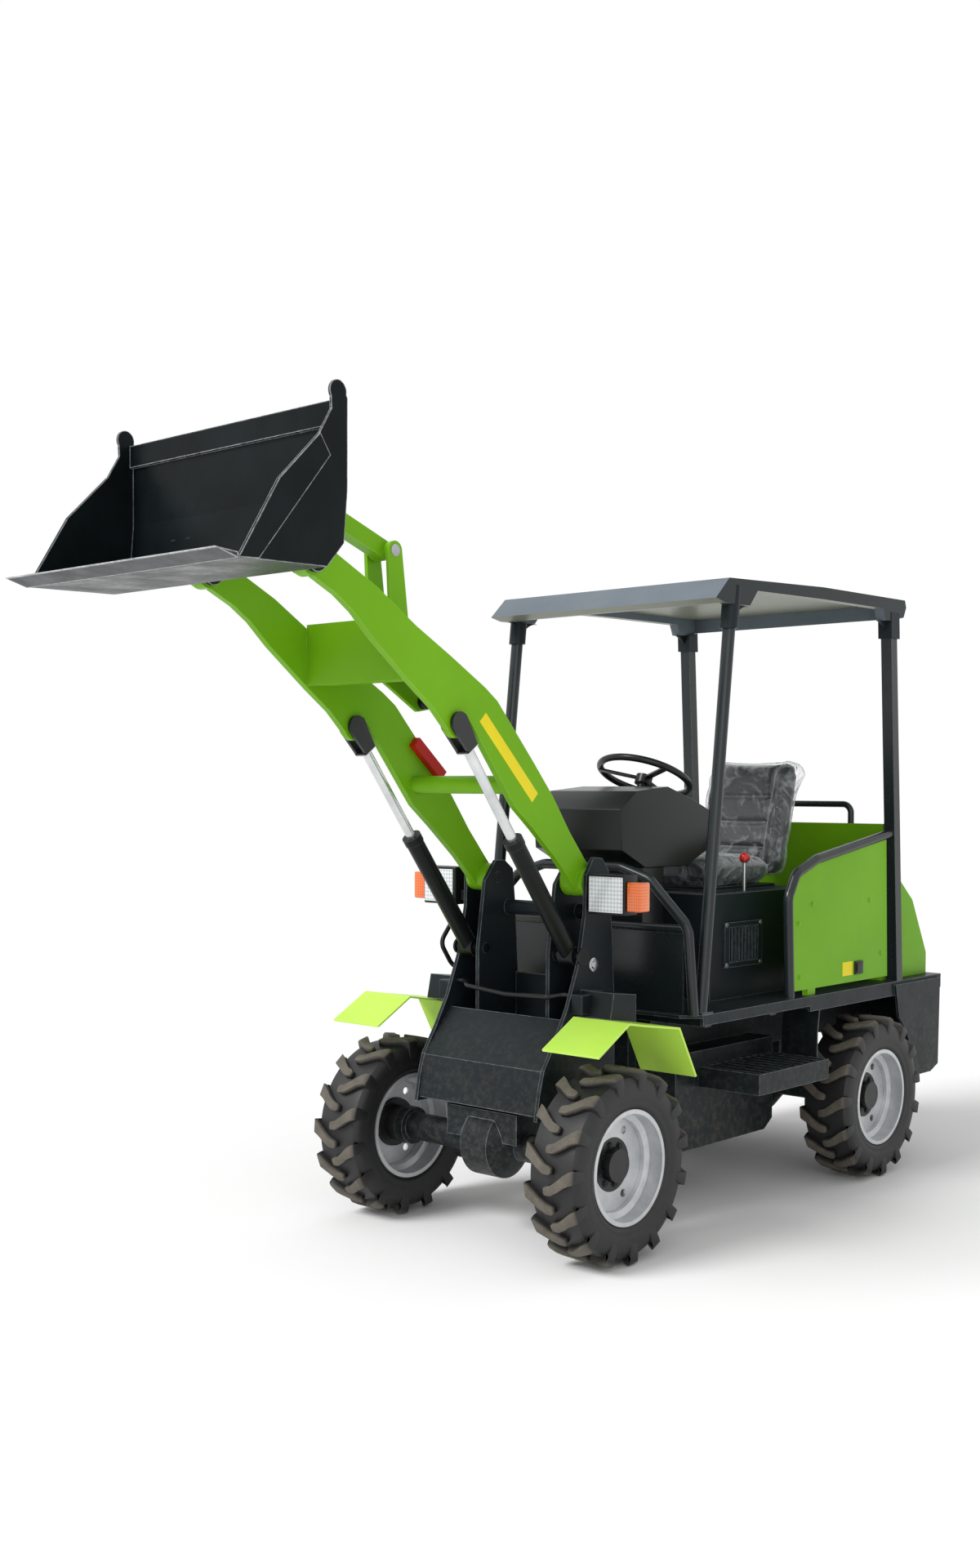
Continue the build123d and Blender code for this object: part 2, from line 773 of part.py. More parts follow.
def boom_pins():
    x_out = rocker_spacing + rocker_plate + face_gap + bracket_plate
    rocker_pin = bar_x(rocker_pin_y, rocker_pin_z, pin_radius, -x_out - 4, x_out + 4)
    foot_pin = bar_x(tilt_foot_y, tilt_foot_z, pin_radius - 6, -x_out - 4, x_out + 4)
    return [rocker_pin, foot_pin]


def safety_prop():
    x_out = -arm_center + arm_plate / 2 + seat_gap
    unit_y, unit_z, length = direction(-209, 1806, -67, 1683)
    corners = []
    for distance, side in ((0, -20), (length, -20), (length, 20), (0, 20)):
        corners.append(along(-209, 1806, unit_y, unit_z, distance, side))
    return plate(corners, x_out, 30)


# Bucket and its linkage
def bucket_level(rise):
    # height of a point drawn this far over the heel, on a bucket of the set height
    return bucket_heel_z + rise * (bucket_top_z - bucket_heel_z) / bucket_drawn_height


def bucket():
    x_in = bucket_half - bucket_wall
    heel = bucket_tip_y + 79
    low_bend = bucket_level(81)
    high_bend = bucket_level(233)
    side = plate(
        [(heel, bucket_heel_z), (bucket_floor_y, bucket_floor_z), (-1235, low_bend), (bucket_back_y, high_bend),
         (bucket_back_y, bucket_top_z), (-1250, bucket_level(539)), (-1285, bucket_level(487)),
         (-1283, bucket_level(454)), (-1329, bucket_level(378)), (-1478, bucket_level(231))],
        x_in, bucket_wall)
    skin = plate(
        [(heel, bucket_heel_z), (bucket_floor_y, bucket_floor_z), (-1235, low_bend), (bucket_back_y, high_bend),
         (bucket_back_y, bucket_top_z), (bucket_back_y - 8, bucket_top_z), (bucket_back_y - 8, high_bend),
         (-1243, low_bend + 3), (-1303, 2268), (heel, bucket_heel_z + 8)],
        -bucket_half, 2 * bucket_half)
    ear = bar_x(bucket_ear_y, bucket_ear_z, bucket_ear_radius, x_in, bucket_half)
    strip = plate(
        [(heel, bucket_heel_z), (heel + 70, bucket_heel_z + 3), (-1290, bucket_level(321)), (-1329, bucket_level(378)),
         (-1478, bucket_level(231))], bucket_half, 4)
    body = skin + both(side) + both(ear) + both(strip)
    body += block(-x_in, x_in, bucket_back_y - 20, bucket_back_y - 8, bucket_top_z - 70, bucket_top_z)
    lug_in = arm_center + arm_plate / 2 + 12 + face_gap
    far_in = arm_center - arm_plate / 2 - 12 - face_gap - 18
    body += both(bucket_lug(lug_in, bucket_pin_y, bucket_pin_z, 38, 2345, 2420))
    body += both(bucket_lug(far_in, bucket_pin_y, bucket_pin_z, 38, 2345, 2420))
    body += both(bucket_lug(rocker_spacing, bucket_eye_y, bucket_eye_z, 32, bucket_level(307), bucket_level(467)))
    body -= bar_x(bucket_pin_y, bucket_pin_z, pin_radius, -400, 400)
    return body - bar_x(bucket_eye_y, bucket_eye_z, pin_radius, -400, 400)


def bucket_lug(x_in, y, z, radius, low, high):
    back = bucket_back_y - (14 if low < 2486 else 4)
    web = plate([(back, low), (y, z - radius), (y, z + radius), (back, high)], x_in, 18)
    return web + bar_x(y, z, radius, x_in, x_in + 18)


def cutting_edge():
    heel = bucket_tip_y + 79
    return plate(
        [(bucket_tip_y, bucket_tip_z), (heel - seat_gap, 2251), (heel - seat_gap, 2267)],
        -bucket_half, 2 * bucket_half)


def bucket_pins():
    inner = arm_center - arm_plate / 2 - 12 - face_gap - 22
    outer = arm_center + arm_plate / 2 + 12 + face_gap + 22
    pin = bar_x(bucket_pin_y, bucket_pin_z, pin_radius, inner, outer)
    eye = bar_x(bucket_eye_y, bucket_eye_z, pin_radius, -rocker_spacing - 22, rocker_spacing + 22)
    return both(pin) + [eye]


def rocker():
    outline = [
        (rocker_eye_y - 32, rocker_eye_z), (rocker_eye_y + 32, rocker_eye_z),
        (rocker_pin_y + 46, rocker_pin_z + 40), (rocker_pin_y + 38, rocker_pin_z),
        (rocker_pin_y - 38, rocker_pin_z)]
    cheek = plate(outline, rocker_spacing, rocker_plate)
    for y, z, radius in (
            (rocker_eye_y, rocker_eye_z, 32), (rocker_pin_y, rocker_pin_z, 38)):
        cheek += bar_x(y, z, radius, rocker_spacing, rocker_spacing + rocker_plate)
    body = bar_x(rocker_pin_y, rocker_pin_z, 30, -rocker_spacing, rocker_spacing) + both(cheek)
    body -= bar_x(rocker_pin_y, rocker_pin_z, pin_radius + running_gap, -100, 100)
    return body - bar_x(rocker_eye_y, rocker_eye_z, pin_radius, -100, 100)


def rocker_pins():
    x_out = rocker_spacing + rocker_plate
    pin = bar_x(rocker_eye_y, rocker_eye_z, pin_radius, -x_out - 2, x_out + 2)
    return pin


def tilt_link():
    unit_y, unit_z, length = direction(rocker_eye_y, rocker_eye_z, bucket_eye_y, bucket_eye_z)
    half = link_width / 2
    corners = []
    for distance, side in ((0, -half), (length, -half), (length, half), (0, half)):
        corners.append(along(rocker_eye_y, rocker_eye_z, unit_y, unit_z, distance, side))
    body = plate(corners, -link_thickness / 2, link_thickness)
    reach = rocker_spacing - face_gap
    for y, z in ((rocker_eye_y, rocker_eye_z), (bucket_eye_y, bucket_eye_z)):
        body += bar_x(y, z, half, -reach, reach)
        body -= bar_x(y, z, pin_radius + running_gap, -100, 100)
    return body


# Hydraulic cylinders
def cylinder_barrel(start, end, reach, radius, gland):
    line = Vector(*end) - Vector(*start)
    frame = Plane(origin=start, z_dir=line)
    tube = frame * Pos(0, 0, 0) * extrude(Circle(radius), reach - 30)
    collar = frame * Pos(0, 0, reach - 30) * extrude(Circle(gland), 30)
    return tube + collar


def cylinder_bore(start, end, reach, inset, rod):
    line = Vector(*end) - Vector(*start)
    frame = Plane(origin=start, z_dir=line)
    return frame * Pos(0, 0, inset) * extrude(Circle(rod + running_gap), reach)


def lift_ends():
    return (arm_center, lift_foot_y, lift_foot_z), (arm_center, lift_eye_y, lift_eye_z)


def lift_barrels():
    start, end = lift_ends()
    body = cylinder_barrel(start, end, barrel_reach, barrel_radius, gland_radius)
    body += bar_x(lift_foot_y, lift_foot_z, 36, arm_center - barrel_radius, arm_center + barrel_radius)
    body -= cylinder_bore(start, end, barrel_reach, lift_bore_floor, rod_radius)
    return both(body - bar_x(lift_foot_y, lift_foot_z, pin_radius + running_gap, 0, 400))


def lift_rods():
    start, end = lift_ends()
    line = Vector(*end) - Vector(*start)
    frame = Plane(origin=start, z_dir=line)
    root = line.length - fork_depth
    tail = lift_bore_floor + lift_stroke + 4
    body = frame * Pos(0, 0, tail) * extrude(Circle(rod_radius), root - tail)
    half = arm_plate / 2 + fork_gap
    bridge = extrude(Rectangle(2 * (half + fork_cheek), 2 * rod_radius + 16), fork_bridge)
    body += frame * Pos(0, 0, root - fork_bridge / 2) * bridge
    unit_y, unit_z, length = direction(lift_foot_y, lift_foot_z, lift_eye_y, lift_eye_z)
    corners = []
    for distance, side in ((root, -26), (length, -fork_radius), (length, fork_radius), (root, 26)):
        corners.append(along(lift_foot_y, lift_foot_z, unit_y, unit_z, distance, side))
    cheek = plate(corners, 0, fork_cheek) + bar_x(lift_eye_y, lift_eye_z, fork_radius, 0, fork_cheek)
    body += Pos(arm_center + half, 0, 0) * cheek
    body += Pos(arm_center - half - fork_cheek, 0, 0) * cheek
    return both(body)


def tilt_barrel():
    start = (0, tilt_foot_y, tilt_foot_z)
    end = (0, lever_y, lever_z)
    body = cylinder_barrel(start, end, tilt_barrel_reach, tilt_barrel_radius, tilt_barrel_radius + 2)
    reach = rocker_spacing + rocker_plate
    body += bar_x(tilt_foot_y, tilt_foot_z, 26, -reach, reach)
    body -= cylinder_bore(start, end, tilt_barrel_reach, 35, tilt_rod_radius)
    return body - bar_x(tilt_foot_y, tilt_foot_z, pin_radius - 6 + running_gap, -100, 100)


def tilt_rod():
    start = (0, tilt_foot_y, tilt_foot_z)
    line = Vector(0, lever_y, lever_z) - Vector(*start)
    body = Plane(origin=start, z_dir=line) * Pos(0, 0, 125) * extrude(Circle(tilt_rod_radius), line.length - 125)
    return body + bar_x(lever_y, lever_z, tilt_eye_radius, -rocker_spacing + 5, rocker_spacing - 5)


def steering_barrel():
    start = (steer_foot_x, steer_foot_y, steer_z)
    end = (steer_eye_x, steer_eye_y, steer_z)
    half = steer_eye_radius / 2
    body = cylinder_barrel(start, end, steer_barrel_reach, steer_barrel_radius, steer_barrel_radius + 2)
    body -= block(-400, 0, steer_foot_y - 34, steer_foot_y + 40, steer_z + half, steer_z + 100)
    body -= block(-400, 0, steer_foot_y - 34, steer_foot_y + 40, steer_z - 100, steer_z - half)
    body += bar_z(steer_foot_x, steer_foot_y, steer_eye_radius, steer_z - half, steer_z + half)
    return body - cylinder_bore(start, end, steer_barrel_reach, 60, steer_rod_radius)


def steering_rod():
    start = (steer_foot_x, steer_foot_y, steer_z)
    line = Vector(steer_eye_x, steer_eye_y, steer_z) - Vector(*start)
    half = steer_eye_radius / 2
    body = Plane(origin=start, z_dir=line) * Pos(0, 0, 200) * extrude(Circle(steer_rod_radius), line.length - 200)
    body -= block(-400, 0, steer_eye_y - 40, steer_eye_y + 34, steer_z + half, steer_z + 100)
    body -= block(-400, 0, steer_eye_y - 40, steer_eye_y + 34, steer_z - 100, steer_z - half)
    return body + bar_z(steer_eye_x, steer_eye_y, steer_eye_radius, steer_z - half, steer_z + half)


def save_wheels():
    rubber = lugged_tyre()
    silver = rim() + hub()
    for side, left_right in ((1, "left"), (-1, "right")):
        for y, end in ((0, "front"), (wheelbase, "rear")):
            corner = end + "_" + left_right
            save("tyre_" + corner, place_wheel(rubber, side, y))
            save("rim_" + corner, place_wheel(silver, side, y))


def save_all(*makers):
    for maker in makers:
        made = maker()
        shapes = made if isinstance(made, list) else [made]
        save(maker.__name__, *shapes)


def axle_front():
    return axle(0)


def axle_rear():
    return axle(wheelbase)


def main():
    os.makedirs("parts", exist_ok=True)
    save_wheels()
    save_all(chassis, axle_rear, pivot_pin, platform, steps, rear_fenders, rear_hood, engine_block, counterweight)
    save_all(seat_box, grilles, seat_cushion, seat_back, dash, steering_wheel, levers)
    save_all(posts, roof, roof_brackets, front_guard, side_guards, side_panels, grab_rail)
    save_all(tower, axle_front, shield, front_fenders, lamp_bodies, lamp_lenses, indicators, tower_pins, hoses)
    save_all(boom, boom_pins, safety_prop, bucket, cutting_edge, bucket_pins, rocker, rocker_pins, tilt_link)
    save_all(lift_barrels, lift_rods, tilt_barrel, tilt_rod, steering_barrel, steering_rod)


main()
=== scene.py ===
import json
import math

import bmesh
import bpy
from mathutils import Matrix, Vector, noise

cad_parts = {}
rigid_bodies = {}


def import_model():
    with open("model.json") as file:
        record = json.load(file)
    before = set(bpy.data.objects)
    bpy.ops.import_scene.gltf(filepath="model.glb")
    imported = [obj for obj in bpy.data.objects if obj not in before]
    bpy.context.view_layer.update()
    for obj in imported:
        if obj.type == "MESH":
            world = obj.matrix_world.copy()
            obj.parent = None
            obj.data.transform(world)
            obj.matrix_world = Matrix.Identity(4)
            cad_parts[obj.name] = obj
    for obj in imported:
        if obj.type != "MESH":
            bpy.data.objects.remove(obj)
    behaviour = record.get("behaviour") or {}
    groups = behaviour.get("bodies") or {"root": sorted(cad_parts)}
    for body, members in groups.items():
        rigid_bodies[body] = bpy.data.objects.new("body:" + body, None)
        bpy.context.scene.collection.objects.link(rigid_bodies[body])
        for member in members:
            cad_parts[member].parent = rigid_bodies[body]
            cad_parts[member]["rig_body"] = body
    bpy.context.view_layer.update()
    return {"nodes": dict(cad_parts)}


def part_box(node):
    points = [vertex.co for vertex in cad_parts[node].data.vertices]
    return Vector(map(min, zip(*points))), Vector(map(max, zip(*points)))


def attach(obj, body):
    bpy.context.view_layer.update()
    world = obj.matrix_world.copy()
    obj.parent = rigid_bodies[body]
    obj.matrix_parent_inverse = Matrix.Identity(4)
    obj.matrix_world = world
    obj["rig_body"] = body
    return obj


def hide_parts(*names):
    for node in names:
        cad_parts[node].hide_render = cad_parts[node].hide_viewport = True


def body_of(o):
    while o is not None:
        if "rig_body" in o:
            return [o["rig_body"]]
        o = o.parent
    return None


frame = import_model()
scene = bpy.context.scene
rowShift = 0.3895  # the row's origin lies this far behind the front axle
sideNames = ((1, "Left"), (-1, "Right"))


def paintNode(name, finish):
    for place in frame["nodes"][name].material_slots:
        place.material = finish


# Small helpers for materials

def linear(red, green, blue):
    # screen colour, 0 to 255, to the linear values that the shader wants
    out = []
    for level in (red, green, blue):
        part = level / 255
        out.append(part / 12.92 if part <= 0.04045 else ((part + 0.055) / 1.055) ** 2.4)
    return (*out, 1.0)


def addNode(tree, kind, inputs=None, **settings):
    made = tree.nodes.new(kind)
    for key, value in settings.items():
        setattr(made, key, value)
    for key, value in (inputs or {}).items():
        if isinstance(value, bpy.types.NodeSocket):
            tree.links.new(value, made.inputs[key])
        else:
            made.inputs[key].default_value = value
    return made


def startMaterial(name):
    made = bpy.data.materials.new(name)
    made.use_nodes = True
    tree = made.node_tree
    shader = tree.nodes["Principled BSDF"]
    place = addNode(tree, "ShaderNodeTexCoord").outputs["Object"]
    return made, tree, shader, place


def noiseAt(tree, place, scale, detail=3.0, rough=0.55):
    return addNode(tree, "ShaderNodeTexNoise", {
        "Vector": place, "Scale": scale, "Detail": detail, "Roughness": rough}).outputs["Fac"]


def ramp(tree, value, low, high, lowTo=0.0, highTo=1.0):
    return addNode(tree, "ShaderNodeMapRange", {
        "Value": value, "From Min": low, "From Max": high, "To Min": lowTo,
        "To Max": highTo}).outputs["Result"]


def combine(tree, kind, first, second):
    return addNode(tree, "ShaderNodeMath", {0: first, 1: second}, operation=kind).outputs[0]


def mixColour(tree, factor, first, second):
    made = addNode(tree, "ShaderNodeMix", {"Factor": factor}, data_type="RGBA")
    for index, value in ((6, first), (7, second)):
        if isinstance(value, bpy.types.NodeSocket):
            tree.links.new(value, made.inputs[index])
        else:
            made.inputs[index].default_value = value
    return made.outputs[2]


def edgeMask(tree, width, low, high):
    # near one on sharp edges, from how far a rounded normal leans off the face's own
    soft = addNode(tree, "ShaderNodeBevel", {"Radius": width}, samples=6).outputs[0]
    plain = addNode(tree, "ShaderNodeNewGeometry").outputs["Normal"]
    lean = addNode(tree, "ShaderNodeVectorMath", {0: soft, 1: plain},
        operation="DOT_PRODUCT").outputs["Value"]
    return ramp(tree, lean, high, low)


def bumpFrom(tree, shader, height, strength, distance):
    bump = addNode(tree, "ShaderNodeBump", {"Height": height, "Strength": strength, "Distance": distance})
    tree.links.new(bump.outputs["Normal"], shader.inputs["Normal"])


def heightOf(tree, place):
    return addNode(tree, "ShaderNodeSeparateXYZ", {"Vector": place}).outputs["Z"]


def paintedMetal(name, look):
    made, tree, shader, place = startMaterial(name)
    broad = noiseAt(tree, place, look.get("patchScale", 2.4), 4.0)
    colour = mixColour(tree, ramp(tree, broad, 0.3, 0.7), look["colour"], look["shade"])
    speck = noiseAt(tree, place, 38.0, 6.0, 0.7)
    # Lighter band along sharp edges: a painted highlight on the green, lime, dark, post and black paints;
    # real wear to bare steel on the bucket and the cutting edge.
    if look.get("edge"):
        paleMask = edgeMask(tree, look.get("edgeWidth", 0.004), look.get("edgeLow", 0.97), 0.999)
        paleMask = combine(tree, "MULTIPLY", paleMask, ramp(tree, speck, 0.35, 0.6, 0.35, 1.0))
        colour = mixColour(tree, paleMask, colour, look["edge"])
    if look.get("dust"):
        low = ramp(tree, heightOf(tree, place), look.get("dustTop", 0.9), 0.2)
        patch = ramp(tree, speck, 0.45, 0.75)
        dusty = combine(tree, "MULTIPLY", combine(tree, "MULTIPLY", low, patch), look["dust"])
        colour = mixColour(tree, dusty, colour, linear(126, 118, 104))
    tree.links.new(colour, shader.inputs["Base Color"])
    smear = noiseAt(tree, place, 9.0, 5.0, 0.65)
    tree.links.new(ramp(tree, smear, 0.3, 0.7, look["gloss"][0], look["gloss"][1]),
        shader.inputs["Roughness"])
    shader.inputs["Metallic"].default_value = look.get("metal", 0.0)
    shader.inputs["Specular IOR Level"].default_value = look.get("shine", 0.15)
    peel = noiseAt(tree, place, look.get("peelScale", 320.0), 2.0)
    bumpFrom(tree, shader, peel, look.get("peel", 0.08), 0.0006)
    return made


def bareMetal(name, look):
    made, tree, shader, place = startMaterial(name)
    streak = addNode(tree, "ShaderNodeMapping",
        {"Vector": place, "Scale": look.get("stretch", (40.0, 400.0, 400.0))})
    grain = noiseAt(tree, streak.outputs[0], 1.0, 4.0)
    patch = noiseAt(tree, place, 14.0, 4.0)
    colour = mixColour(tree, ramp(tree, patch, 0.35, 0.7), look["colour"], look["shade"])
    tree.links.new(colour, shader.inputs["Base Color"])
    tree.links.new(ramp(tree, grain, 0.3, 0.7, look["gloss"][0], look["gloss"][1]),
        shader.inputs["Roughness"])
    shader.inputs["Metallic"].default_value = look.get("metal", 1.0)
    bumpFrom(tree, shader, grain, look.get("scratch", 0.05), 0.0004)
    return made


def mouldedPlastic(name, look):
    made, tree, shader, place = startMaterial(name)
    broad = noiseAt(tree, place, 3.0, 3.0)
    colour = mixColour(tree, ramp(tree, broad, 0.3, 0.7), look["colour"], look["shade"])
    tree.links.new(colour, shader.inputs["Base Color"])
    shader.inputs["Roughness"].default_value = look["gloss"]
    shader.inputs["Specular IOR Level"].default_value = look.get("shine", 0.2)
    grain = addNode(tree, "ShaderNodeTexVoronoi", {"Vector": place, "Scale": look.get("grainScale", 420.0)})
    bumpFrom(tree, shader, grain.outputs["Distance"], look.get("grain", 0.12), 0.0008)
    return made


def wheelPlace(tree, place, centre):
    moved = addNode(tree, "ShaderNodeMapping",
        {"Vector": place, "Location": [-part for part in centre]}).outputs[0]
    split = addNode(tree, "ShaderNodeSeparateXYZ", {"Vector": moved})
    wide = combine(tree, "POWER", split.outputs["Y"], 2.0)
    tall = combine(tree, "POWER", split.outputs["Z"], 2.0)
    return moved, combine(tree, "SQRT", combine(tree, "ADD", wide, tall), 0.0)


def tyreRubber(name, centre, look):
    made, tree, shader, place = startMaterial(name)
    moved, radius = wheelPlace(tree, place, centre)
    speck = noiseAt(tree, moved, 26.0, 6.0, 0.7)
    paleMask = combine(tree, "MULTIPLY", ramp(tree, radius, look["lugRoot"], look["lugTop"]),
        ramp(tree, speck, 0.3, 0.6, 0.55, 1.0))
    colour = mixColour(tree, ramp(tree, speck, 0.35, 0.7), look["colour"], look["shade"])
    colour = mixColour(tree, paleMask, colour, look["tread"])
    tree.links.new(colour, shader.inputs["Base Color"])
    tree.links.new(ramp(tree, paleMask, 0.0, 1.0, 0.52, 0.8), shader.inputs["Roughness"])
    fine = noiseAt(tree, moved, 180.0, 4.0)
    rings = combine(tree, "SINE", combine(tree, "MULTIPLY", radius, 900.0), 0.0)
    side = combine(tree, "MULTIPLY", rings, ramp(tree, radius, 0.262, 0.252, 0.0, 0.25))
    bumpFrom(tree, shader, combine(tree, "ADD", fine, side), 0.25, 0.001)
    return made


def rimPaint(name, centre, look):
    made, tree, shader, place = startMaterial(name)
    moved, radius = wheelPlace(tree, place, centre)
    hub = ramp(tree, radius, look["hubEdge"] + 0.0008, look["hubEdge"])
    patch = noiseAt(tree, moved, 18.0, 5.0)
    colour = mixColour(tree, ramp(tree, patch, 0.35, 0.7), look["colour"], look["shade"])
    dirt = edgeMask(tree, 0.006, 0.9, 1.0)
    colour = mixColour(tree, combine(tree, "MULTIPLY", dirt, 0.35), colour, linear(120, 118, 112))
    colour = mixColour(tree, hub, colour, look["hubColour"])
    tree.links.new(colour, shader.inputs["Base Color"])
    tree.links.new(ramp(tree, hub, 0.0, 1.0, look["metal"], 0.0), shader.inputs["Metallic"])
    tree.links.new(ramp(tree, patch, 0.3, 0.7, 0.3, 0.44), shader.inputs["Roughness"])
    bumpFrom(tree, shader, noiseAt(tree, moved, 300.0, 2.0), 0.06, 0.0006)
    return made


def lampGlass(name, look):
    made, tree, shader, place = startMaterial(name)
    ribs = addNode(tree, "ShaderNodeTexWave", {"Vector": place, "Scale": look["ribScale"]},
        bands_direction="X")
    cross = addNode(tree, "ShaderNodeTexWave", {"Vector": place, "Scale": look["ribScale"]},
        bands_direction="Z")
    pattern = combine(tree, "ADD", ribs.outputs["Fac"], cross.outputs["Fac"])
    tree.links.new(mixColour(tree, ramp(tree, pattern, 0.2, 1.6), look["colour"], look["shade"]),
        shader.inputs["Base Color"])
    shader.inputs["Roughness"].default_value = look["gloss"]
    shader.inputs["Coat Weight"].default_value = 1.0
    shader.inputs["Coat Roughness"].default_value = 0.04
    bumpFrom(tree, shader, pattern, 0.4, 0.0012)
    return made


# The edge colours below are painted highlights along sharp edges, except on the bucket and the cutting edge,
# where they are real wear to bare steel.
greenPaint = paintedMetal("greenPaint", {
    "colour": linear(117, 177, 24), "shade": linear(108, 166, 20), "edge": linear(150, 200, 70),
    "edgeLow": 0.985, "edgeWidth": 0.0025, "gloss": (0.3, 0.42), "shine": 0.14, "peel": 0.03})
limePaint = paintedMetal("limePaint", {
    "colour": linear(196, 240, 92), "shade": linear(182, 230, 78), "edge": linear(222, 250, 150),
    "edgeLow": 0.985, "edgeWidth": 0.0025, "gloss": (0.3, 0.42), "shine": 0.2, "peel": 0.03})
darkPaint = paintedMetal("darkPaint", {
    "colour": linear(30, 37, 40), "shade": linear(23, 29, 32), "edge": linear(112, 120, 124), "edgeLow": 0.98,
    "gloss": (0.3, 0.46), "shine": 0.16, "peel": 0.08, "dust": 0.3})
postPaint = paintedMetal("postPaint", {
    "colour": linear(30, 37, 39), "shade": linear(24, 30, 32), "edge": linear(84, 94, 98), "edgeLow": 0.98,
    "gloss": (0.2, 0.3), "shine": 0.4, "peel": 0.1})
blackPaint = paintedMetal("blackPaint", {
    "colour": linear(16, 18, 19), "shade": linear(12, 14, 15), "edge": linear(58, 60, 62), "edgeLow": 0.98,
    "gloss": (0.26, 0.4), "shine": 0.2, "peel": 0.06})
bucketPaint = paintedMetal("bucketPaint", {
    "colour": linear(12, 17, 18), "shade": linear(20, 27, 29), "edge": linear(176, 182, 184),
    "edgeWidth": 0.005, "edgeLow": 0.95, "gloss": (0.22, 0.42), "shine": 0.1, "peel": 0.1,
    "peelScale": 120.0, "patchScale": 5.0})
edgeSteel = paintedMetal("edgeSteel", {
    "colour": linear(46, 50, 52), "shade": linear(78, 82, 84), "edge": linear(206, 210, 212),
    "edgeWidth": 0.006, "edgeLow": 0.95, "gloss": (0.28, 0.5), "metal": 0.5, "peel": 0.1,
    "patchScale": 12.0})
pinSteel = bareMetal("pinSteel", {"colour": linear(190, 192, 196), "shade": linear(150, 152, 156),
    "gloss": (0.2, 0.4)})
chromeRod = bareMetal("chromeRod", {
    "colour": linear(226, 228, 230), "shade": linear(206, 208, 212), "gloss": (0.06, 0.16), "scratch": 0.02})
castMetal = bareMetal("castMetal", {
    "colour": linear(70, 72, 74), "shade": linear(52, 54, 56), "gloss": (0.5, 0.7), "metal": 0.3,
    "scratch": 0.3})
roofPlastic = mouldedPlastic("roofPlastic", {
    "colour": linear(34, 42, 46), "shade": linear(28, 35, 39), "gloss": 0.4, "shine": 0.15, "grain": 0.06})
blackPlastic = mouldedPlastic("blackPlastic", {
    "colour": linear(16, 18, 19), "shade": linear(22, 24, 25), "gloss": 0.3, "shine": 0.3, "grain": 0.05})
redPlastic = mouldedPlastic("redPlastic",
    {"colour": linear(190, 34, 26), "shade": linear(170, 26, 20), "gloss": 0.34})
clearLens = lampGlass("clearLens", {
    "colour": linear(236, 238, 240), "shade": linear(186, 192, 198), "gloss": 0.12, "ribScale": 22.0})
amberLens = lampGlass("amberLens", {
    "colour": linear(240, 120, 20), "shade": linear(214, 84, 8), "gloss": 0.14, "ribScale": 30.0})
print("materials made")


# The CAD's own pieces get their finishes

nodeFinish = {
    greenPaint: ("boom", "rocker", "tilt_link", "rear_hood", "side_panels"),
    limePaint: ("front_fenders",),
    darkPaint: ("chassis", "platform", "tower", "shield", "rear_fenders", "counterweight", "seat_box",
                "grilles", "steps", "axle_front", "axle_rear"),
    postPaint: ("posts", "front_guard", "side_guards", "grab_rail"),
    blackPaint: ("lift_barrels", "tilt_barrel", "steering_barrel", "tower_pins", "pivot_pin"),
    bucketPaint: ("bucket",),
    edgeSteel: ("cutting_edge",),
    pinSteel: ("boom_pins", "bucket_pins", "rocker_pins"),
    chromeRod: ("tilt_rod", "steering_rod"),
    castMetal: ("engine_block",),
    roofPlastic: ("roof_brackets",),
    blackPlastic: ("dash", "steering_wheel", "lamp_bodies", "seat_cushion", "seat_back", "hoses"),
    redPlastic: ("safety_prop",),
    clearLens: ("lamp_lenses",),
    amberLens: ("indicators",),
}
for finish, names in nodeFinish.items():
    for nodeName in names:
        paintNode(nodeName, finish)

wheelLook = {
    "colour": linear(17, 17, 18), "shade": linear(26, 26, 27), "tread": linear(96, 90, 80),
    "lugRoot": 0.322, "lugTop": 0.334,
    "rimColour": linear(206, 208, 210), "rimShade": linear(188, 190, 193), "hubColour": linear(22, 22, 23),
    "hubEdge": 0.094, "rimMetal": 0.55,
}
wheelCentres = {}
for corner in ("front_left", "front_right", "rear_left", "rear_right"):
    low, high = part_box("tyre_" + corner)
    centre = (Vector(low) + Vector(high)) / 2
    wheelCentres[corner] = centre
    rubber = tyreRubber("rubber_" + corner, centre, wheelLook)
    silver = rimPaint("silver_" + corner, centre, {
        "colour": wheelLook["rimColour"], "shade": wheelLook["rimShade"], "hubColour": wheelLook["hubColour"],
        "hubEdge": wheelLook["hubEdge"], "metal": wheelLook["rimMetal"]})
    paintNode("tyre_" + corner, rubber)
    paintNode("rim_" + corner, silver)
print("finishes set")


# Camera, floor and light

cameraLook = {
    "place": (3.9215, -4.7968, 1.6336), "yaw": 41.81, "pitch": -2.2, "roll": 0.25,
    "focal": 37.10, "shiftX": -0.0018, "shiftY": 0.0431,
}


def makeCamera(look):
    data = bpy.data.cameras.new("camera")
    data.sensor_fit = "AUTO"
    data.sensor_width = 36.0
    data.lens = look["focal"]
    data.shift_x = look["shiftX"]
    data.shift_y = look["shiftY"]
    data.clip_end = 200.0
    made = bpy.data.objects.new("camera", data)
    scene.collection.objects.link(made)
    yaw, pitch, roll = (math.radians(look[key]) for key in ("yaw", "pitch", "roll"))
    heading = Matrix.Rotation(yaw, 4, "Z")
    tilt = Matrix.Rotation(math.pi / 2 + pitch, 4, "X")
    turn = heading @ tilt @ Matrix.Rotation(roll, 4, "Z")
    made.matrix_world = Matrix.Translation(look["place"]) @ turn
    scene.camera = made


floorLook = {"size": 60.0, "colour": (0.94, 0.94, 0.94, 1.0)}


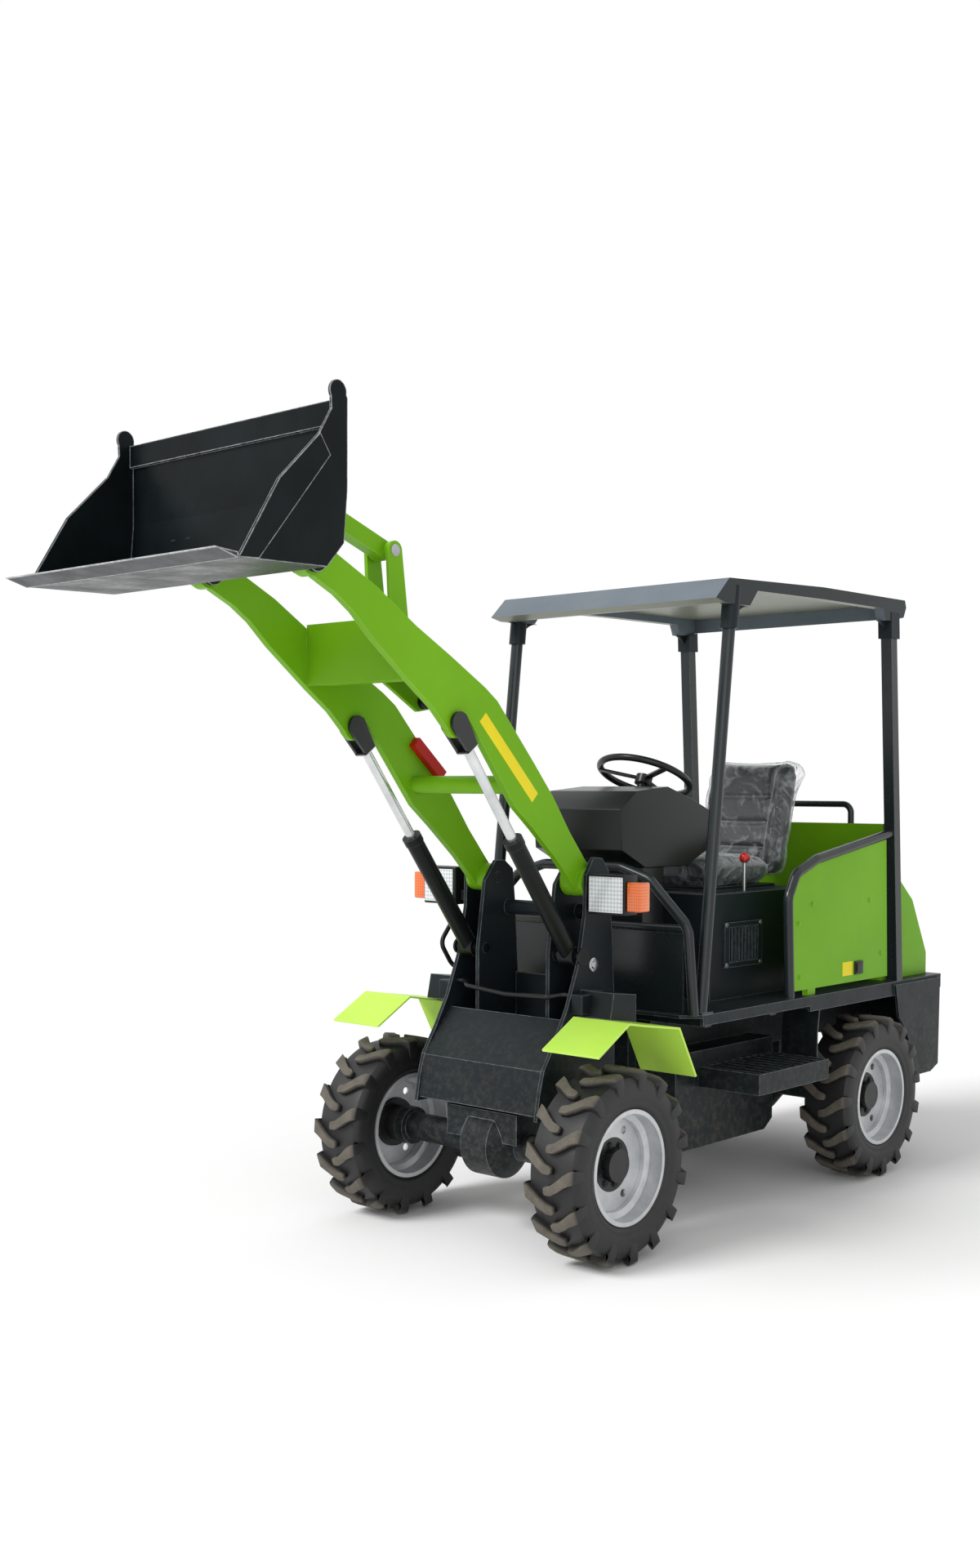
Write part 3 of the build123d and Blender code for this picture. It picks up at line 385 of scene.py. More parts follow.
def makeFloor(look):
    half = look["size"] / 2
    mesh = bpy.data.meshes.new("floor")
    mesh.from_pydata([(-half, -half, 0), (half, -half, 0), (half, half, 0), (-half, half, 0)], [],
        [(0, 1, 2, 3)])
    made = bpy.data.objects.new("floor", mesh)
    scene.collection.objects.link(made)
    finish, tree, shader, place = startMaterial("floorFinish")
    grain = noiseAt(tree, place, 6.0, 3.0)
    tone = mixColour(tree, ramp(tree, grain, 0.2, 0.8), look["colour"],
        tuple(part * 0.99 for part in look["colour"][:3]) + (1.0,))
    tree.links.new(tone, shader.inputs["Base Color"])
    shader.inputs["Roughness"].default_value = 0.9
    shader.inputs["Specular IOR Level"].default_value = 0.1
    mesh.materials.append(finish)


lightLook = {
    "worldStrength": 0.62,
    "key": {"energy": 2.3, "angle": 22.0, "turn": (48.0, 0.0, -18.0)},
    "fill": {"energy": 60.0, "size": 4.0, "place": (5.0, -4.0, 3.2), "aim": (0.0, 0.0, 0.9)},
}


def makeLight(look):
    world = bpy.data.worlds.new("studio")
    scene.world = world
    world.use_nodes = True
    tree = world.node_tree
    tree.nodes.clear()
    path = addNode(tree, "ShaderNodeLightPath")
    seen = combine(tree, "MAXIMUM", path.outputs["Is Camera Ray"], path.outputs["Is Glossy Ray"])
    seen = combine(tree, "MAXIMUM", seen, path.outputs["Is Transmission Ray"])
    soft = addNode(tree, "ShaderNodeBackground",
        {"Color": (1.0, 1.0, 1.0, 1.0), "Strength": look["worldStrength"]})
    white = addNode(tree, "ShaderNodeBackground", {"Color": (1.0, 1.0, 1.0, 1.0), "Strength": 1.0})
    both = addNode(tree, "ShaderNodeMixShader", {0: seen, 1: soft.outputs[0], 2: white.outputs[0]})
    out = addNode(tree, "ShaderNodeOutputWorld")
    tree.links.new(both.outputs[0], out.inputs["Surface"])
    sun = bpy.data.lights.new("key", "SUN")
    sun.energy = look["key"]["energy"]
    sun.angle = math.radians(look["key"]["angle"])
    lamp = bpy.data.objects.new("key", sun)
    lamp.rotation_euler = [math.radians(part) for part in look["key"]["turn"]]
    scene.collection.objects.link(lamp)
    area = bpy.data.lights.new("fill", "AREA")
    area.energy = look["fill"]["energy"]
    area.size = look["fill"]["size"]
    panel = bpy.data.objects.new("fill", area)
    place = Vector(look["fill"]["place"])
    panel.location = place
    panel.rotation_euler = (Vector(look["fill"]["aim"]) - place).to_track_quat("-Z", "Y").to_euler()
    scene.collection.objects.link(panel)


makeCamera(cameraLook)
makeFloor(floorLook)
makeLight(lightLook)
scene.view_settings.view_transform = "Standard"
print("camera, floor and light made")


# Shared builders for the added pieces

def row(x, y, z):
    # a point in machine millimetres, measured from the front axle, to the row's metres
    return Vector((x / 1000, y / 1000 - rowShift, z / 1000))


def meshObject(name, points, faces, finish):
    mesh = bpy.data.meshes.new(name)
    mesh.from_pydata([tuple(point) for point in points], [], faces)
    mesh.materials.append(finish)
    made = bpy.data.objects.new(name, mesh)
    scene.collection.objects.link(made)
    return made


def evaluated(source, name, finish):
    # the source with its modifiers, as a plain mesh of its own
    graph = bpy.context.evaluated_depsgraph_get()
    mesh = bpy.data.meshes.new_from_object(source.evaluated_get(graph), depsgraph=graph)
    mesh.name = name
    mesh.materials.clear()
    mesh.materials.append(finish)
    for face in mesh.polygons:
        face.material_index = 0
    made = bpy.data.objects.new(name, mesh)
    scene.collection.objects.link(made)
    bpy.data.objects.remove(source)
    return made


def smoothByAngle(made, degrees):
    limit = math.radians(degrees)
    work = bmesh.new()
    work.from_mesh(made.data)
    for face in work.faces:
        face.smooth = True
    for edge in work.edges:
        edge.smooth = len(edge.link_faces) == 2 and edge.calc_face_angle(0.0) < limit
    work.to_mesh(made.data)
    work.free()


def turnOutward(made):
    work = bmesh.new()
    work.from_mesh(made.data)
    bmesh.ops.recalc_face_normals(work, faces=work.faces)
    work.to_mesh(made.data)
    work.free()


def newTree(name, numbers):
    tree = bpy.data.node_groups.new(name, "GeometryNodeTree")
    tree.interface.new_socket("Geometry", in_out="INPUT", socket_type="NodeSocketGeometry")
    for label, value in numbers.items():
        kind = "NodeSocketInt" if isinstance(value, int) else "NodeSocketFloat"
        socket = tree.interface.new_socket(label, in_out="INPUT", socket_type=kind)
        socket.default_value = value
    tree.interface.new_socket("Geometry", in_out="OUTPUT", socket_type="NodeSocketGeometry")
    return tree, tree.nodes.new("NodeGroupInput"), tree.nodes.new("NodeGroupOutput")


def finishTree(tree, outNode, geometry, finish):
    real = addNode(tree, "GeometryNodeRealizeInstances", {"Geometry": geometry})
    painted = addNode(tree, "GeometryNodeSetMaterial", {"Geometry": real.outputs[0], "Material": finish})
    tree.links.new(painted.outputs[0], outNode.inputs[0])


def applyTree(source, tree, numbers, name, finish):
    build = source.modifiers.new("build", "NODES")
    build.node_group = tree
    for item in tree.interface.items_tree:
        if item.in_out == "INPUT" and item.name in numbers:
            build[item.identifier] = numbers[item.name]
    return evaluated(source, name, finish)


# Bolts: one head shape set on a list of places, each with its own outward direction

boltLook = {"Head Radius": 0.007, "Head Height": 0.005, "Washer Radius": 0.0105, "Washer Height": 0.0016}


def boltTree(sizes, finish):
    tree, inNode, outNode = newTree("boltTree", sizes)
    head = addNode(tree, "GeometryNodeMeshCylinder", {
        "Vertices": 6, "Radius": inNode.outputs["Head Radius"], "Depth": inNode.outputs["Head Height"]})
    washer = addNode(tree, "GeometryNodeMeshCylinder", {
        "Vertices": 16, "Radius": inNode.outputs["Washer Radius"], "Depth": inNode.outputs["Washer Height"]})
    up = addNode(tree, "ShaderNodeMath", {0: inNode.outputs["Head Height"], 1: 0.5}, operation="MULTIPLY")
    lift = addNode(tree, "ShaderNodeCombineXYZ", {"Z": up.outputs[0]})
    raised = addNode(tree, "GeometryNodeTransform",
        {"Geometry": head.outputs["Mesh"], "Translation": lift.outputs[0]})
    both = addNode(tree, "GeometryNodeJoinGeometry")
    tree.links.new(raised.outputs[0], both.inputs[0])
    tree.links.new(washer.outputs["Mesh"], both.inputs[0])
    facing = addNode(tree, "GeometryNodeInputNamedAttribute", {"Name": "facing"}, data_type="FLOAT_VECTOR")
    turn = addNode(tree, "FunctionNodeAlignRotationToVector", {"Vector": facing.outputs["Attribute"]},
        axis="Z")
    placed = addNode(tree, "GeometryNodeInstanceOnPoints", {
        "Points": inNode.outputs["Geometry"], "Instance": both.outputs[0], "Rotation": turn.outputs[0]})
    finishTree(tree, outNode, placed.outputs[0], finish)
    return tree


def setBolts(name, body, places, finish, scale=1.0):
    sizes = {label: value * scale for label, value in boltLook.items()}
    source = meshObject(name + "Points", [place for place, facing in places], [], finish)
    facingData = source.data.attributes.new("facing", "FLOAT_VECTOR", "POINT")
    for index, (place, facing) in enumerate(places):
        facingData.data[index].vector = facing
    made = applyTree(source, boltTree(sizes, finish), sizes, name, finish)
    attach(made, body)


# Tyres: a smooth carcass with hooked lugs that run down the shoulder

tyreLook = {
    "lugPairs": 15, "radius": 340.0, "segments": 120, "lugDepth": 34.0, "spread": 3,
    "wallAcross": 100, "wallInset": 14, "closeAcross": 106, "soft": 0.0034, "smooth": 34,
    "lug": (  # across, around, half width, outer radius
        (-16, -36, 8, 336), (-8, -36, 14, 340), (16, -32, 17, 340), (44, -14, 19, 340), (72, 8, 21, 340),
        (94, 20, 23, 338), (105, 24, 24, 329), (108, 24, 23, 308), (107.5, 22, 21, 280), (105, 20, 17, 262)),
    "profile": (  # half width, radius, from the bead to the crown
        (89.5, 190), (89.5, 203), (95, 207), (99, 214), (101, 222), (100, 226), (103.5, 236), (105, 250),
        (105, 266), (103, 284), (98, 300), (88, 310), (70, 313), (40, 314), (0, 315)),
}


def lugMesh(look, side, turn):
    points, faces = [], []
    for across, around, half, outer in look["lug"]:
        innerAcross = across - (look["wallInset"] if across > look["wallAcross"] else 0)
        inner = outer if across > look["closeAcross"] else outer - look["lugDepth"]
        for sign in (-1, 1):
            angle = turn + (around + sign * half) / look["radius"]
            spread = turn + (around + sign * (half + look["spread"])) / look["radius"]
            for x, radius, at in ((across, outer, angle), (innerAcross, inner, spread)):
                points.append((side * x / 1000, -radius / 1000 * math.cos(at), radius / 1000 * math.sin(at)))
    rows = len(look["lug"])
    for index in range(rows - 1):
        a, b = index * 4, index * 4 + 4
        faces += [(a, a + 2, b + 2, b), (a + 1, b + 1, b + 3, a + 3), (a, b, b + 1, a + 1),
            (a + 2, a + 3, b + 3, b + 2)]
    faces += [(0, 1, 3, 2), ((rows - 1) * 4, (rows - 1) * 4 + 2, (rows - 1) * 4 + 3, (rows - 1) * 4 + 1)]
    return points, faces


def lugRing(look, finish):
    step = 2 * math.pi / look["lugPairs"]
    points, faces = [], []
    for side, turn in ((1, 0.0), (-1, step / 2)):
        morePoints, moreFaces = lugMesh(look, side, turn)
        faces += [tuple(index + len(points) for index in face) for face in moreFaces]
        points += morePoints
    pair = meshObject("lugPair", points, faces, finish)
    turnOutward(pair)
    soft = pair.modifiers.new("soft", "BEVEL")
    soft.width = look["soft"]
    soft.segments = 2
    soft.limit_method = "ANGLE"
    pair = evaluated(pair, "lugPairSoft", finish)
    tree, inNode, outNode = newTree("lugTree", {"Pairs": look["lugPairs"]})
    spots = addNode(tree, "GeometryNodePoints", {"Count": inNode.outputs["Pairs"]})
    index = addNode(tree, "GeometryNodeInputIndex")
    share = addNode(tree, "ShaderNodeMath", {0: index.outputs[0], 1: inNode.outputs["Pairs"]},
        operation="DIVIDE")
    angle = addNode(tree, "ShaderNodeMath", {0: share.outputs[0], 1: 2 * math.pi}, operation="MULTIPLY")
    turn = addNode(tree, "ShaderNodeCombineXYZ", {"X": angle.outputs[0]})
    placed = addNode(tree, "GeometryNodeInstanceOnPoints", {
        "Points": spots.outputs[0], "Instance": inNode.outputs["Geometry"], "Rotation": turn.outputs[0]})
    finishTree(tree, outNode, placed.outputs[0], finish)
    return applyTree(pair, tree, {"Pairs": look["lugPairs"]}, "lugRing", finish)


def carcassMesh(look):
    half = list(look["profile"])
    outline = [(-x, radius) for x, radius in half] + [(x, radius) for x, radius in reversed(half[:-1])]
    points, faces = [], []
    count, ring = look["segments"], len(outline)
    for step in range(count):
        angle = 2 * math.pi * step / count
        for x, radius in outline:
            points.append((x / 1000, radius / 1000 * math.cos(angle), radius / 1000 * math.sin(angle)))
    for step in range(count):
        here, there = step * ring, (step + 1) % count * ring
        for index in range(ring):
            after = (index + 1) % ring
            faces.append((here + index, here + after, there + after, there + index))
    return points, faces


def makeTyres(look):
    ring = None
    for corner, centre in wheelCentres.items():
        finish = bpy.data.materials["rubber_" + corner]
        if ring is None:
            ring = lugRing(look, finish)
        points, faces = carcassMesh(look)
        body = meshObject("carcass", points, faces, finish)
        work = bmesh.new()
        work.from_mesh(body.data)
        work.from_mesh(ring.data)
        bmesh.ops.recalc_face_normals(work, faces=work.faces)
        if corner.endswith("right"):
            bmesh.ops.scale(work, vec=(-1, 1, 1), verts=work.verts)
            bmesh.ops.reverse_faces(work, faces=work.faces)
        bmesh.ops.translate(work, vec=centre, verts=work.verts)
        mesh = bpy.data.meshes.new("treadTyre_" + corner)
        work.to_mesh(mesh)
        work.free()
        mesh.materials.append(finish)
        for face in mesh.polygons:
            face.material_index = 0
        made = bpy.data.objects.new("treadTyre_" + corner, mesh)
        scene.collection.objects.link(made)
        bpy.data.objects.remove(body)
        smoothByAngle(made, look["smooth"])
        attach(made, "wheel_" + corner)
        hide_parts("tyre_" + corner)
    bpy.data.objects.remove(ring)
    print("tyres made")


makeTyres(tyreLook)


# Bolts round each hub

wheelBoltLook = {"count": 8, "circle": 0.070, "start": 0.2, "scale": 1.5, "ring": 0.012}


def hubFace(corner, side, look):
    # how far out the rim's own solid reaches at the bolt circle
    centre = wheelCentres[corner]
    reach = 0.0
    for vertex in frame["nodes"]["rim_" + corner].data.vertices:
        away = math.hypot(vertex.co.y - centre.y, vertex.co.z - centre.z)
        if abs(away - look["circle"]) < look["ring"]:
            reach = max(reach, side * (vertex.co.x - centre.x))
    return reach


def makeWheelBolts(look):
    for corner, centre in wheelCentres.items():
        side = 1 if corner.endswith("left") else -1
        face = centre + Vector((side * hubFace(corner, side, look), 0, 0))
        places = []
        for index in range(look["count"]):
            angle = 2 * math.pi * index / look["count"] + look["start"]
            out = Vector((0, math.cos(angle), math.sin(angle)))
            places.append((face + out * look["circle"], (side, 0, 0)))
        setBolts("wheelBolts_" + corner, "wheel_" + corner, places, blackPaint, look["scale"])


makeWheelBolts(wheelBoltLook)
print("wheel bolts made")


# Rounded copies of CAD pieces that the real machine moulds or presses with soft edges

softLook = {
    "dash": {"width": 0.045, "segments": 5, "finish": blackPlastic},
    "lamp_bodies": {"width": 0.012, "segments": 3, "finish": blackPlastic},
    "indicators": {"width": 0.007, "segments": 3, "finish": amberLens},
    "lamp_lenses": {"width": 0.003, "segments": 2, "finish": clearLens},
}
roundLook = {"weld": 0.00002, "flat": 1.0, "sharp": 28, "smooth": 40}


def softenNode(node, look, shared):
    mesh = frame["nodes"][node].data.copy()
    mesh.name = node + "Soft"
    work = bmesh.new()
    work.from_mesh(mesh)
    bmesh.ops.remove_doubles(work, verts=work.verts, dist=shared["weld"])
    flat = math.radians(shared["flat"])
    bmesh.ops.dissolve_limit(work, angle_limit=flat, verts=work.verts, edges=work.edges)
    work.to_mesh(mesh)
    work.free()
    mesh.materials.clear()
    mesh.materials.append(look["finish"])
    source = bpy.data.objects.new(node + "Source", mesh)
    scene.collection.objects.link(source)
    soft = source.modifiers.new("soft", "BEVEL")
    soft.width = look["width"]
    soft.segments = look["segments"]
    soft.limit_method = "ANGLE"
    soft.angle_limit = math.radians(shared["sharp"])
    made = evaluated(source, node + "Soft", look["finish"])
    smoothByAngle(made, shared["smooth"])
    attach(made, body_of(frame["nodes"][node])[0])
    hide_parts(node)


for node, look in softLook.items():
    softenNode(node, look, roundLook)
print("rounded pieces made")


# Seat: two padded forms swollen by cloth, then sewn channels, then the clear wrap over them

def seatVinyl(name, look):
    made, tree, shader, place = startMaterial(name)
    broad = noiseAt(tree, place, 7.0, 5.0, 0.6)
    colour = mixColour(tree, ramp(tree, broad, 0.32, 0.68), look["colour"], look["shade"])
    tree.links.new(colour, shader.inputs["Base Color"])
    sheen = ramp(tree, noiseAt(tree, place, 22.0, 4.0), 0.3, 0.7, look["gloss"][0], look["gloss"][1])
    tree.links.new(sheen, shader.inputs["Roughness"])
    shader.inputs["Coat Weight"].default_value = look["coat"]
    shader.inputs["Coat Roughness"].default_value = 0.16
    grain = addNode(tree, "ShaderNodeTexVoronoi", {"Vector": place, "Scale": 520.0}).outputs["Distance"]
    crease = addNode(tree, "ShaderNodeTexNoise",
        {"Vector": place, "Scale": look["creaseScale"], "Detail": 2.0, "Distortion": 1.6})
    height = combine(tree, "ADD", combine(tree, "MULTIPLY", grain, 0.03), crease.outputs["Fac"])
    bumpFrom(tree, shader, height, look["crease"], 0.012)
    return made


def clearWrap(name, look):
    made, tree, shader, place = startMaterial(name)
    folds = addNode(tree, "ShaderNodeTexNoise",
        {"Vector": place, "Scale": 8.0, "Detail": 3.0, "Distortion": 2.2}).outputs["Fac"]
    shader.inputs["Base Color"].default_value = look["colour"]
    shader.inputs["Roughness"].default_value = look["gloss"]
    # The clear film shows its whitish colour where its alpha rises: along the rims where it turns away, a
    # painted reflection, and on the folds, painted highlight streaks.
    rim = addNode(tree, "ShaderNodeLayerWeight", {"Blend": look["rimBlend"]}).outputs["Facing"]
    foldHighlight = ramp(tree, folds, 0.5, 0.66, look["clear"], look["fold"])
    edge = combine(tree, "MULTIPLY", combine(tree, "POWER", rim, 2.4), look["rim"])
    tree.links.new(combine(tree, "ADD", foldHighlight, edge), shader.inputs["Alpha"])
    bumpFrom(tree, shader, folds, 0.8, 0.03)
    return made


vinylBlack = seatVinyl("vinylBlack", {
    "colour": linear(20, 24, 26), "shade": linear(36, 42, 45), "gloss": (0.24, 0.4), "coat": 0.3,
    "creaseScale": 5.0, "crease": 0.5})
# The wrap's whitish colour with its fold and rim amounts paints highlights on the folds and a reflection
# along the rims of a clear film.
wrapFilm = clearWrap("wrapFilm", {
    "colour": linear(222, 230, 233), "gloss": 0.12, "rimBlend": 0.42, "clear": 0.04, "fold": 0.3, "rim": 1.3})

backLook = {
    "rings": (  # rear shift along the machine, height, half width, half depth
        (1612, 1268, 176, 26), (1614, 1282, 206, 40), (1622, 1330, 218, 46), (1640, 1420, 226, 48),
        (1664, 1520, 230, 46), (1690, 1620, 232, 42), (1712, 1700, 226, 37), (1728, 1745, 206, 30),
        (1736, 1762, 168, 18)),
    "channels": (1392, 1500, 1612), "bolster": 142, "channelDepth": 0.011, "channelWidth": 0.012,
    "channelReach": 1.6, "cap": 0.02, "voxel": 0.0065, "around": 40, "round": 0.5, "lean": 0.25,
    "frames": 20, "quality": 4, "pressure": 4.0, "smooth": 80,
}
cushionLook = {
    "rings": (
        (1084, 1296, 196, 24), (1092, 1297, 214, 38), (1140, 1298, 224, 46), (1240, 1299, 226, 47),
        (1380, 1299, 226, 46), (1490, 1298, 220, 42), (1528, 1297, 200, 26)),
    "channels": (), "bolster": 150, "channelDepth": 0.008, "channelWidth": 0.012, "channelReach": 1.6,
    "cap": 0.014, "voxel": 0.0065, "around": 40, "round": 0.5, "frames": 20, "quality": 4,
    "pressure": 4.0, "smooth": 80,
}


def padRings(look, flat):
    # closed form of rounded rings, upright for the back and lying for the cushion
    points, faces = [], []
    count = look["around"]
    for y, z, half, deep in look["rings"]:
        for step in range(count):
            angle = 2 * math.pi * step / count
            across = math.copysign(abs(math.cos(angle)) ** look["round"], math.cos(angle)) * half
            out = math.copysign(abs(math.sin(angle)) ** look["round"], math.sin(angle)) * deep
            points.append(row(across, y, z + out) if flat else row(across, y + out, z + out * look["lean"]))
    last = len(look["rings"]) - 1
    for ring in range(last):
        for step in range(count):
            here, after = ring * count + step, ring * count + (step + 1) % count
            faces.append((here, after, after + count, here + count))
    faces += [tuple(range(count)), tuple(range(last * count + count - 1, last * count - 1, -1))]
    return points, faces


def swell(source, look):
    before = [vertex.co.copy() for vertex in source.data.vertices]
    cloth = source.modifiers.new("swell", "CLOTH")
    cloth.settings.use_pressure = True
    cloth.settings.uniform_pressure_force = look["pressure"]
    cloth.settings.effector_weights.gravity = 0.0
    cloth.settings.quality = look["quality"]
    for frameNumber in range(1, look["frames"] + 1):
        scene.frame_set(frameNumber)
    graph = bpy.context.evaluated_depsgraph_get()
    after = [vertex.co.copy() for vertex in source.evaluated_get(graph).data.vertices]
    source.modifiers.remove(cloth)
    for vertex, start, end in zip(source.data.vertices, before, after):
        move = end - start
        if move.length > look["cap"]:
            move *= look["cap"] / move.length
        vertex.co = start + move
    scene.frame_set(1)


def channelPad(made, look, flat):
    depth, width = look["channelDepth"], look["channelWidth"]
    normals = [vertex.normal.copy() for vertex in made.data.vertices]
    for vertex, normal in zip(made.data.vertices, normals):
        front = max(0.0, normal.z if flat else -normal.y)
        inside = 1.0 if abs(vertex.co.x) < look["bolster"] / 1000 else 0.0
        sink = math.exp(-((abs(vertex.co.x) - look["bolster"] / 1000) / width) ** 2)
        for level in look["channels"]:
            sink = max(sink, inside * math.exp(-((vertex.co.z - level / 1000) / width) ** 2))
        vertex.co -= normal * sink * depth * min(1.0, front * look["channelReach"])


def makePad(name, look, flat, finish):
    points, faces = padRings(look, flat)
    source = meshObject(name + "Start", points, faces, finish)
    turnOutward(source)
    voxels = source.modifiers.new("voxels", "REMESH")
    voxels.mode = "VOXEL"
    voxels.voxel_size = look["voxel"]
    source = evaluated(source, name + "Pad", finish)
    swell(source, look)
    fine = source.modifiers.new("fine", "SUBSURF")
    fine.levels = fine.render_levels = 1
    made = evaluated(source, name, finish)
    channelPad(made, look, flat)
    smoothByAngle(made, look["smooth"])
    return made


def wrapOver(pad, name, look, finish):
    # a thin film that stands off the pad, with soft folds and one loose corner
    mesh = pad.data.copy()
    source = bpy.data.objects.new(name + "Start", mesh)
    scene.collection.objects.link(source)
    fewer = source.modifiers.new("fewer", "DECIMATE")
    fewer.ratio = look["keep"]
    made = evaluated(source, name, finish)
    normals = [vertex.normal.copy() for vertex in made.data.vertices]
    for vertex, normal in zip(made.data.vertices, normals):
        fold = 0.5 + 0.5 * noise.noise(vertex.co * look["foldScale"])
        vertex.co += normal * (look["gap"] + look["fold"] * fold)
        if look.get("corner"):
            reach = max(0.0, 1.0 - (vertex.co - row(*look["corner"])).length / look["cornerReach"])
            vertex.co += Vector(look["cornerPull"]) * reach ** 2
    smoothByAngle(made, look["smooth"])
    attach(made, "rear_frame")


seatBack = makePad("seatBack", backLook, False, vinylBlack)
seatCushion = makePad("seatCushion", cushionLook, True, vinylBlack)
wrapOver(seatBack, "backWrap", {
    "keep": 0.3, "foldScale": 11.0, "gap": 0.003, "fold": 0.012, "smooth": 180,
    "corner": (236, 1720, 1715), "cornerReach": 0.14, "cornerPull": (0.045, 0.02, 0.012)}, wrapFilm)
wrapOver(seatCushion, "cushionWrap", {
    "keep": 0.3, "foldScale": 14.0, "gap": 0.002, "fold": 0.009, "smooth": 180}, wrapFilm)
for pad, node in ((seatBack, "seat_back"), (seatCushion, "seat_cushion")):
    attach(pad, "rear_frame")
    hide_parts(node)
print("seat made")


# Thin blank plates and small boxes with rounded edges

slabLook = {"profile": 0.6, "smooth": 50, "plateSegments": 2}


def slab(name, body, low, high, width, finish, segments):
    work = bmesh.new()
    bmesh.ops.create_cube(work, size=1.0)
    lowAt, highAt = row(*low), row(*high)
    for vertex in work.verts:
        vertex.co = Vector([lowAt[axis] if vertex.co[axis] < 0 else highAt[axis] for axis in range(3)])
    finishSlab(work, name, body, width, finish, segments)


def finishSlab(work, name, body, width, finish, segments):
    bmesh.ops.recalc_face_normals(work, faces=work.faces)
    bmesh.ops.bevel(work, geom=work.edges, offset=width, segments=segments,
        profile=slabLook["profile"], affect="EDGES")
    mesh = bpy.data.meshes.new(name)
    work.to_mesh(mesh)
    work.free()
    mesh.materials.append(finish)
    made = bpy.data.objects.new(name, mesh)
    scene.collection.objects.link(made)
    smoothByAngle(made, slabLook["smooth"])
    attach(made, body)


def plateOn(name, body, side, corners, thickness, width, finish):
    # a flat plate on a face that looks along x, from its four corners in y and z
    work = bmesh.new()
    for x in (side, side + thickness):
        ring = [work.verts.new(row(x, y, z)) for y, z in corners]
        work.faces.new(ring)
    work.verts.ensure_lookup_table()
    count = len(corners)
    for index in range(count):
        after = (index + 1) % count
        work.faces.new([work.verts[index], work.verts[after], work.verts[after + count],
            work.verts[index + count]])
    finishSlab(work, name, body, width, finish, slabLook["plateSegments"])


yellowPaint = paintedMetal("yellowPaint", {
    "colour": linear(244, 226, 50), "shade": linear(232, 212, 38), "gloss": (0.3, 0.42), "peel": 0.04})
stripLook = {
    "start": (-366, 1877), "end": (-92, 1605), "half": 22, "out": 0.6, "side": 258.5, "gap": 0.1,
    "edge": 0.0002}


def makeStrips(look):
    along = Vector((look["end"][0] - look["start"][0], look["end"][1] - look["start"][1])).normalized()
    cross = Vector((-along.y, along.x)) * look["half"]
    corners = []
    for end, sign in (("start", -1), ("end", -1), ("end", 1), ("start", 1)):
        corners.append((look[end][0] + sign * cross.x, look[end][1] + sign * cross.y))
    plateOn("armStrip", "boom", look["side"] + look["gap"], corners, look["out"], look["edge"], yellowPaint)


makeStrips(stripLook)
panelLook = {
    "out": 529.1, "plate": [(1578, 860), (1662, 860), (1662, 918), (1578, 918)], "plateThickness": 0.8,
    "plateEdge": 0.0003, "socket": ((1676, 860), (1742, 916)), "socketOut": 536, "socketEdge": 0.003,
    "flap": ((1684, 868), (1734, 908)), "flapOut": 540, "flapEdge": 0.002, "segments": 3}


def makePanelPieces(look):
    plateOn("sidePlate", "rear_frame", look["out"], look["plate"], look["plateThickness"],
        look["plateEdge"], yellowPaint)
    low, high = look["socket"]
    slab("sideSocket", "rear_frame", (look["out"], *low), (look["socketOut"], *high),
         look["socketEdge"], blackPlastic, look["segments"])
    low, high = look["flap"]
    slab("socketFlap", "rear_frame", (look["socketOut"], *low), (look["flapOut"], *high),
         look["flapEdge"], blackPlastic, look["segments"])


makePanelPieces(panelLook)
print("plates made")


# Bolts where the machine shows them: body, finish, scale, then place and outward direction

panelSpots = ((1331, 1173), (1800, 1169), (1226, 1102), (1238, 884), (1905, 935))
panelFace = 529.2
grilleSpots = ((968, 940), (968, 1100), (1212, 940), (1212, 1100))
grilleFace = 359.2
boltPlaces = {
    "panelBolts": ("rear_frame", greenPaint, 1.25, [((panelFace, *spot), (1, 0, 0)) for spot in panelSpots]),
    "panelBoltsRight": (
        "rear_frame", greenPaint, 1.25, [((-panelFace, *spot), (-1, 0, 0)) for spot in panelSpots]),
    "grilleBolts": ("rear_frame", pinSteel, 1.0, [
        ((side * grilleFace, *spot), (side, 0, 0)) for side, tag in sideNames for spot in grilleSpots]),
}


def makeBolts(places):
    for name, (body, finish, scale, spots) in places.items():
        setBolts(name, body, [(row(*spot), facing) for spot, facing in spots], finish, scale)


makeBolts(boltPlaces)
print("bolts made")


# Cap plates and rings on the pins that show, silver on the near and the far side

def ringCap(name, body, place, side, look, finish):
    # turned cap: outline of reach and radius, spun about the pin's line
    centre = row(*place)
    points, faces = [], []
    count = look["around"]
    for reach, radius in look["outline"]:
        for step in range(count):
            angle = 2 * math.pi * step / count
            points.append(centre + Vector((side * reach, radius * math.cos(angle), radius * math.sin(angle))))
    rings = len(look["outline"])
    for ring in range(rings - 1):
        for step in range(count):
            here, after = ring * count + step, ring * count + (step + 1) % count
            faces.append((here, after, after + count, here + count))
    faces += [tuple(range(count)), tuple(range((rings - 1) * count, rings * count))]
    made = meshObject(name, points, faces, finish)
    turnOutward(made)
    smoothByAngle(made, look["smooth"])
    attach(made, body)


capLook = {
    "outline": (
        (0.0002, 0.026), (0.003, 0.026), (0.005, 0.023), (0.005, 0.015), (0.009, 0.013), (0.010, 0.009)),
    "place": (300.2, 190, 1000), "around": 32, "smooth": 40}
for side, tag in sideNames:
    out, y, z = capLook["place"]
    ringCap("towerCap" + tag, "front_frame", (side * out, y, z), side, capLook, pinSteel)


# Front fender carriers on the tower's outer plates: a dark folded box and a lime gusset with two bolts

carrierLook = {
    "low": (300.4, 62, 832), "high": (352, 196, 905), "boxEdge": 0.006, "boxSegments": 3, "gap": 0.4,
    "gusset": [(110, 822), (244, 822), (190, 902)], "thickness": 4, "gussetEdge": 0.001,
    "bolts": ((178, 868), (196, 846)), "boltScale": 1.1}


